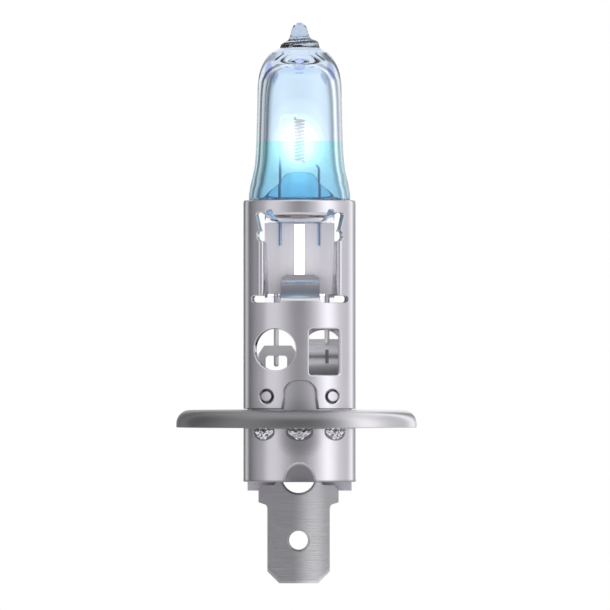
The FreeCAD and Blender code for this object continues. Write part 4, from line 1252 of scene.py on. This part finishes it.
class BULB_OT_cap(bpy.types.Operator):
    """Turn the flange, crimp the shell and weld them together"""

    bl_idname = "bulb.cap"
    bl_label = "Cap"

    def execute(self, context):
        shapes = (
            (Shell.mesh(), "base_shell",
             satin_nickel("shell_nickel", (0.72, 0.705, 0.74), 0.20, painted_shade=shell_shade)),
            (Flange.mesh(), "locating_flange",
             satin_nickel("flange_nickel", (0.70, 0.69, 0.71), 0.20, 0.0, painted_shade=flange_side_shade)),
            (TackWeld.mesh(), "flange_tack_welds",
             bright_weld("bright_weld", (0.93, 0.93, 0.95))),
            (spot_weld_mesh(), "collar_spot_welds",
             satin_nickel("spot_weld_nickel", (0.74, 0.73, 0.77), 0.30)))
        for mesh, node, finish in shapes:
            new_piece(mesh, [finish], node, node)
        return {"FINISHED"}


class BULB_OT_metal(bpy.types.Operator):
    """Plate, brush and polish the metal parts"""

    bl_idname = "bulb.metal"
    bl_label = "Metal Parts"

    def execute(self, context):
        inner, outer = (0.26, 0.36, 0.52), (0.95, 0.94, 0.96)
        finishes = {
            "inner_collar": satin_nickel(
                "collar_nickel", (0.62, 0.61, 0.64), 0.30, painted_shade=spot_groove_shade),
            "live_lug": satin_nickel(
                "lug_nickel", (0.94, 0.93, 0.95), 0.46, metal=0.4, painted_shade=lug_shade),
            "ground_bracket": satin_nickel(
                "bracket_nickel", (0.70, 0.69, 0.71), 0.34, metal=0.7),
            "terminal_blade": brushed_blade("brushed_terminal", (0.64, 0.63, 0.65)),
            "ground_foil": rolled_foil("ground_foil_molybdenum", (0.90, 0.865, 0.87)),
            "live_foil": rolled_foil("live_foil_molybdenum", (0.93, 0.895, 0.90)),
            "long_inner_wire": drawn_wire("long_wire_molybdenum", inner, painted_glare=True),
            "short_inner_wire": drawn_wire("short_wire_molybdenum", inner, painted_glare=True),
            "ground_outer_wire": drawn_wire("ground_wire_molybdenum", outer, 0.2, 0.3),
            "live_outer_wire": drawn_wire("live_wire_molybdenum", outer, 0.2, 0.3),
        }
        for node, finish in finishes.items():
            give_finish(node, finish)
        return {"FINISHED"}


class BULB_OT_insulator(bpy.types.Operator):
    """Fire the steatite insulator"""

    bl_idname = "bulb.insulator"
    bl_label = "Insulator"

    def execute(self, context):
        give_finish("insulator", steatite("steatite", (0.60, 0.59, 0.63)))
        return {"FINISHED"}


class BULB_OT_studio(bpy.types.Operator):
    """Set the floor, the studio light and the camera"""

    bl_idname = "bulb.studio"
    bl_label = "Studio"

    def execute(self, context):
        scene = context.scene
        studio = scene.bulb_studio
        scene.view_settings.view_transform = "Standard"
        self.lay_floor(scene, studio)
        self.light(scene, studio)
        self.fill_windows(scene, studio)
        self.aim_camera(scene, studio)
        return {"FINISHED"}

    @staticmethod
    def aim_camera(scene, studio):
        """A long lens straight in front, so that little perspective shows."""
        camera = bpy.data.objects.new("camera", bpy.data.cameras.new("camera"))
        scene.collection.objects.link(camera)
        camera.data.lens = studio.lens
        away = studio.view_width * studio.lens / camera.data.sensor_width
        camera.location = (studio.view_side, -away, studio.view_level)
        camera.rotation_euler = (math.pi / 2, 0, 0)
        camera.data.clip_start = 0.05
        camera.data.clip_end = 50.0
        scene.camera = camera

    @staticmethod
    def lay_floor(scene, studio):
        """A wide round floor under the blade."""
        bm = bmesh.new()
        bmesh.ops.create_circle(bm, cap_ends=True, radius=3.0, segments=96)
        bm.transform(Matrix.Translation((0, 0, BLADE_LOW.z - studio.floor_drop)))
        mesh = finished_mesh("floor", bm)
        mesh.materials.append(pale_floor("pale_floor"))
        floor = bpy.data.objects.new("floor", mesh)
        scene.collection.objects.link(floor)

    @staticmethod
    def fill_windows(scene, studio):
        """Small cards just outside the windows, that light what stands in the barrel."""
        for turn in (0, 1):
            for i, (across, level, wide, tall) in enumerate(CARDS):
                light = bpy.data.lights.new(f"card_{turn}_{i}", "AREA")
                light.shape = "RECTANGLE"
                light.size, light.size_y = wide * MM, tall * MM
                # an area light's radiance is its power over pi and over its area
                light.energy = studio.fill * math.pi * light.size * light.size_y
                card = bpy.data.objects.new(light.name, light)
                side = -1.0 if turn else 1.0
                card.location = (side * across * MM, -side * (CAP_RADIUS + CARD_GAP) * MM,
                                 level * MM)
                card.rotation_euler = (math.pi / 2, 0, math.pi * turn)
                card.visible_camera = card.visible_glossy = False
                scene.collection.objects.link(card)

    @staticmethod
    def light(scene, studio):
        """A round studio: white behind the bulb, dimmer in front, a soft box at each side."""
        world = bpy.data.worlds.new("studio")
        scene.world = world
        sh = Shader(world)
        x, y, z = sh.place("Generated")
        turn = x.over(-1.0 * y) / (2 * math.pi) + 0.5
        stops = [((angle + 180) / 360, (level / PEAK,) * 3 + (1.0,)) for angle, level in WALLS]
        wall = Value(sh, sh.ramp(turn, stops)) * PEAK
        overhead = z.blend(0.50, 0.97)
        strength = (wall * (1.0 - overhead) + overhead * studio.ceiling) * studio.light_power
        light = sh.node("ShaderNodeBackground", inputs={
            "Color": (0.985, 0.98, 1.0, 1.0), "Strength": strength})
        paper = sh.node("ShaderNodeBackground", inputs={"Color": WHITE, "Strength": 1.0})
        path = sh.node("ShaderNodeLightPath")
        both = sh.node("ShaderNodeMixShader", inputs={
            0: path.outputs["Is Camera Ray"], 1: light.outputs[0], 2: paper.outputs[0]})
        sh.node("ShaderNodeOutputWorld", inputs={0: both.outputs[0]})


class BULB_PT_panel(bpy.types.Panel):
    """Lists the steps that build the bulb"""

    bl_idname = "BULB_PT_panel"
    bl_label = "Headlight Bulb"
    bl_space_type = "VIEW_3D"
    bl_region_type = "UI"
    bl_category = "Headlight Bulb"

    def draw(self, context):
        looks, studio = context.scene.bulb_looks, context.scene.bulb_studio
        for group in (looks, studio):
            for name in group.__annotations__:
                self.layout.prop(group, name)
        for step in STEPS:
            self.layout.operator(step.bl_idname)


STEPS = (BULB_OT_capsule, BULB_OT_coil, BULB_OT_barrel, BULB_OT_cap, BULB_OT_metal,
         BULB_OT_insulator, BULB_OT_studio)
CLASSES = (BulbLooks, StudioSettings, *STEPS, BULB_PT_panel)


def register():
    for cls in CLASSES:
        bpy.utils.register_class(cls)
    bpy.types.Scene.bulb_looks = bpy.props.PointerProperty(type=BulbLooks)
    bpy.types.Scene.bulb_studio = bpy.props.PointerProperty(type=StudioSettings)


def unregister():
    del bpy.types.Scene.bulb_studio
    del bpy.types.Scene.bulb_looks
    for cls in reversed(CLASSES):
        bpy.utils.unregister_class(cls)


def main():
    register()
    bpy.ops.bulb.capsule()
    bpy.ops.bulb.coil()
    bpy.ops.bulb.barrel()
    bpy.ops.bulb.cap()
    bpy.ops.bulb.metal()
    bpy.ops.bulb.insulator()
    bpy.ops.bulb.studio()


if __name__ == "__main__":
    main()
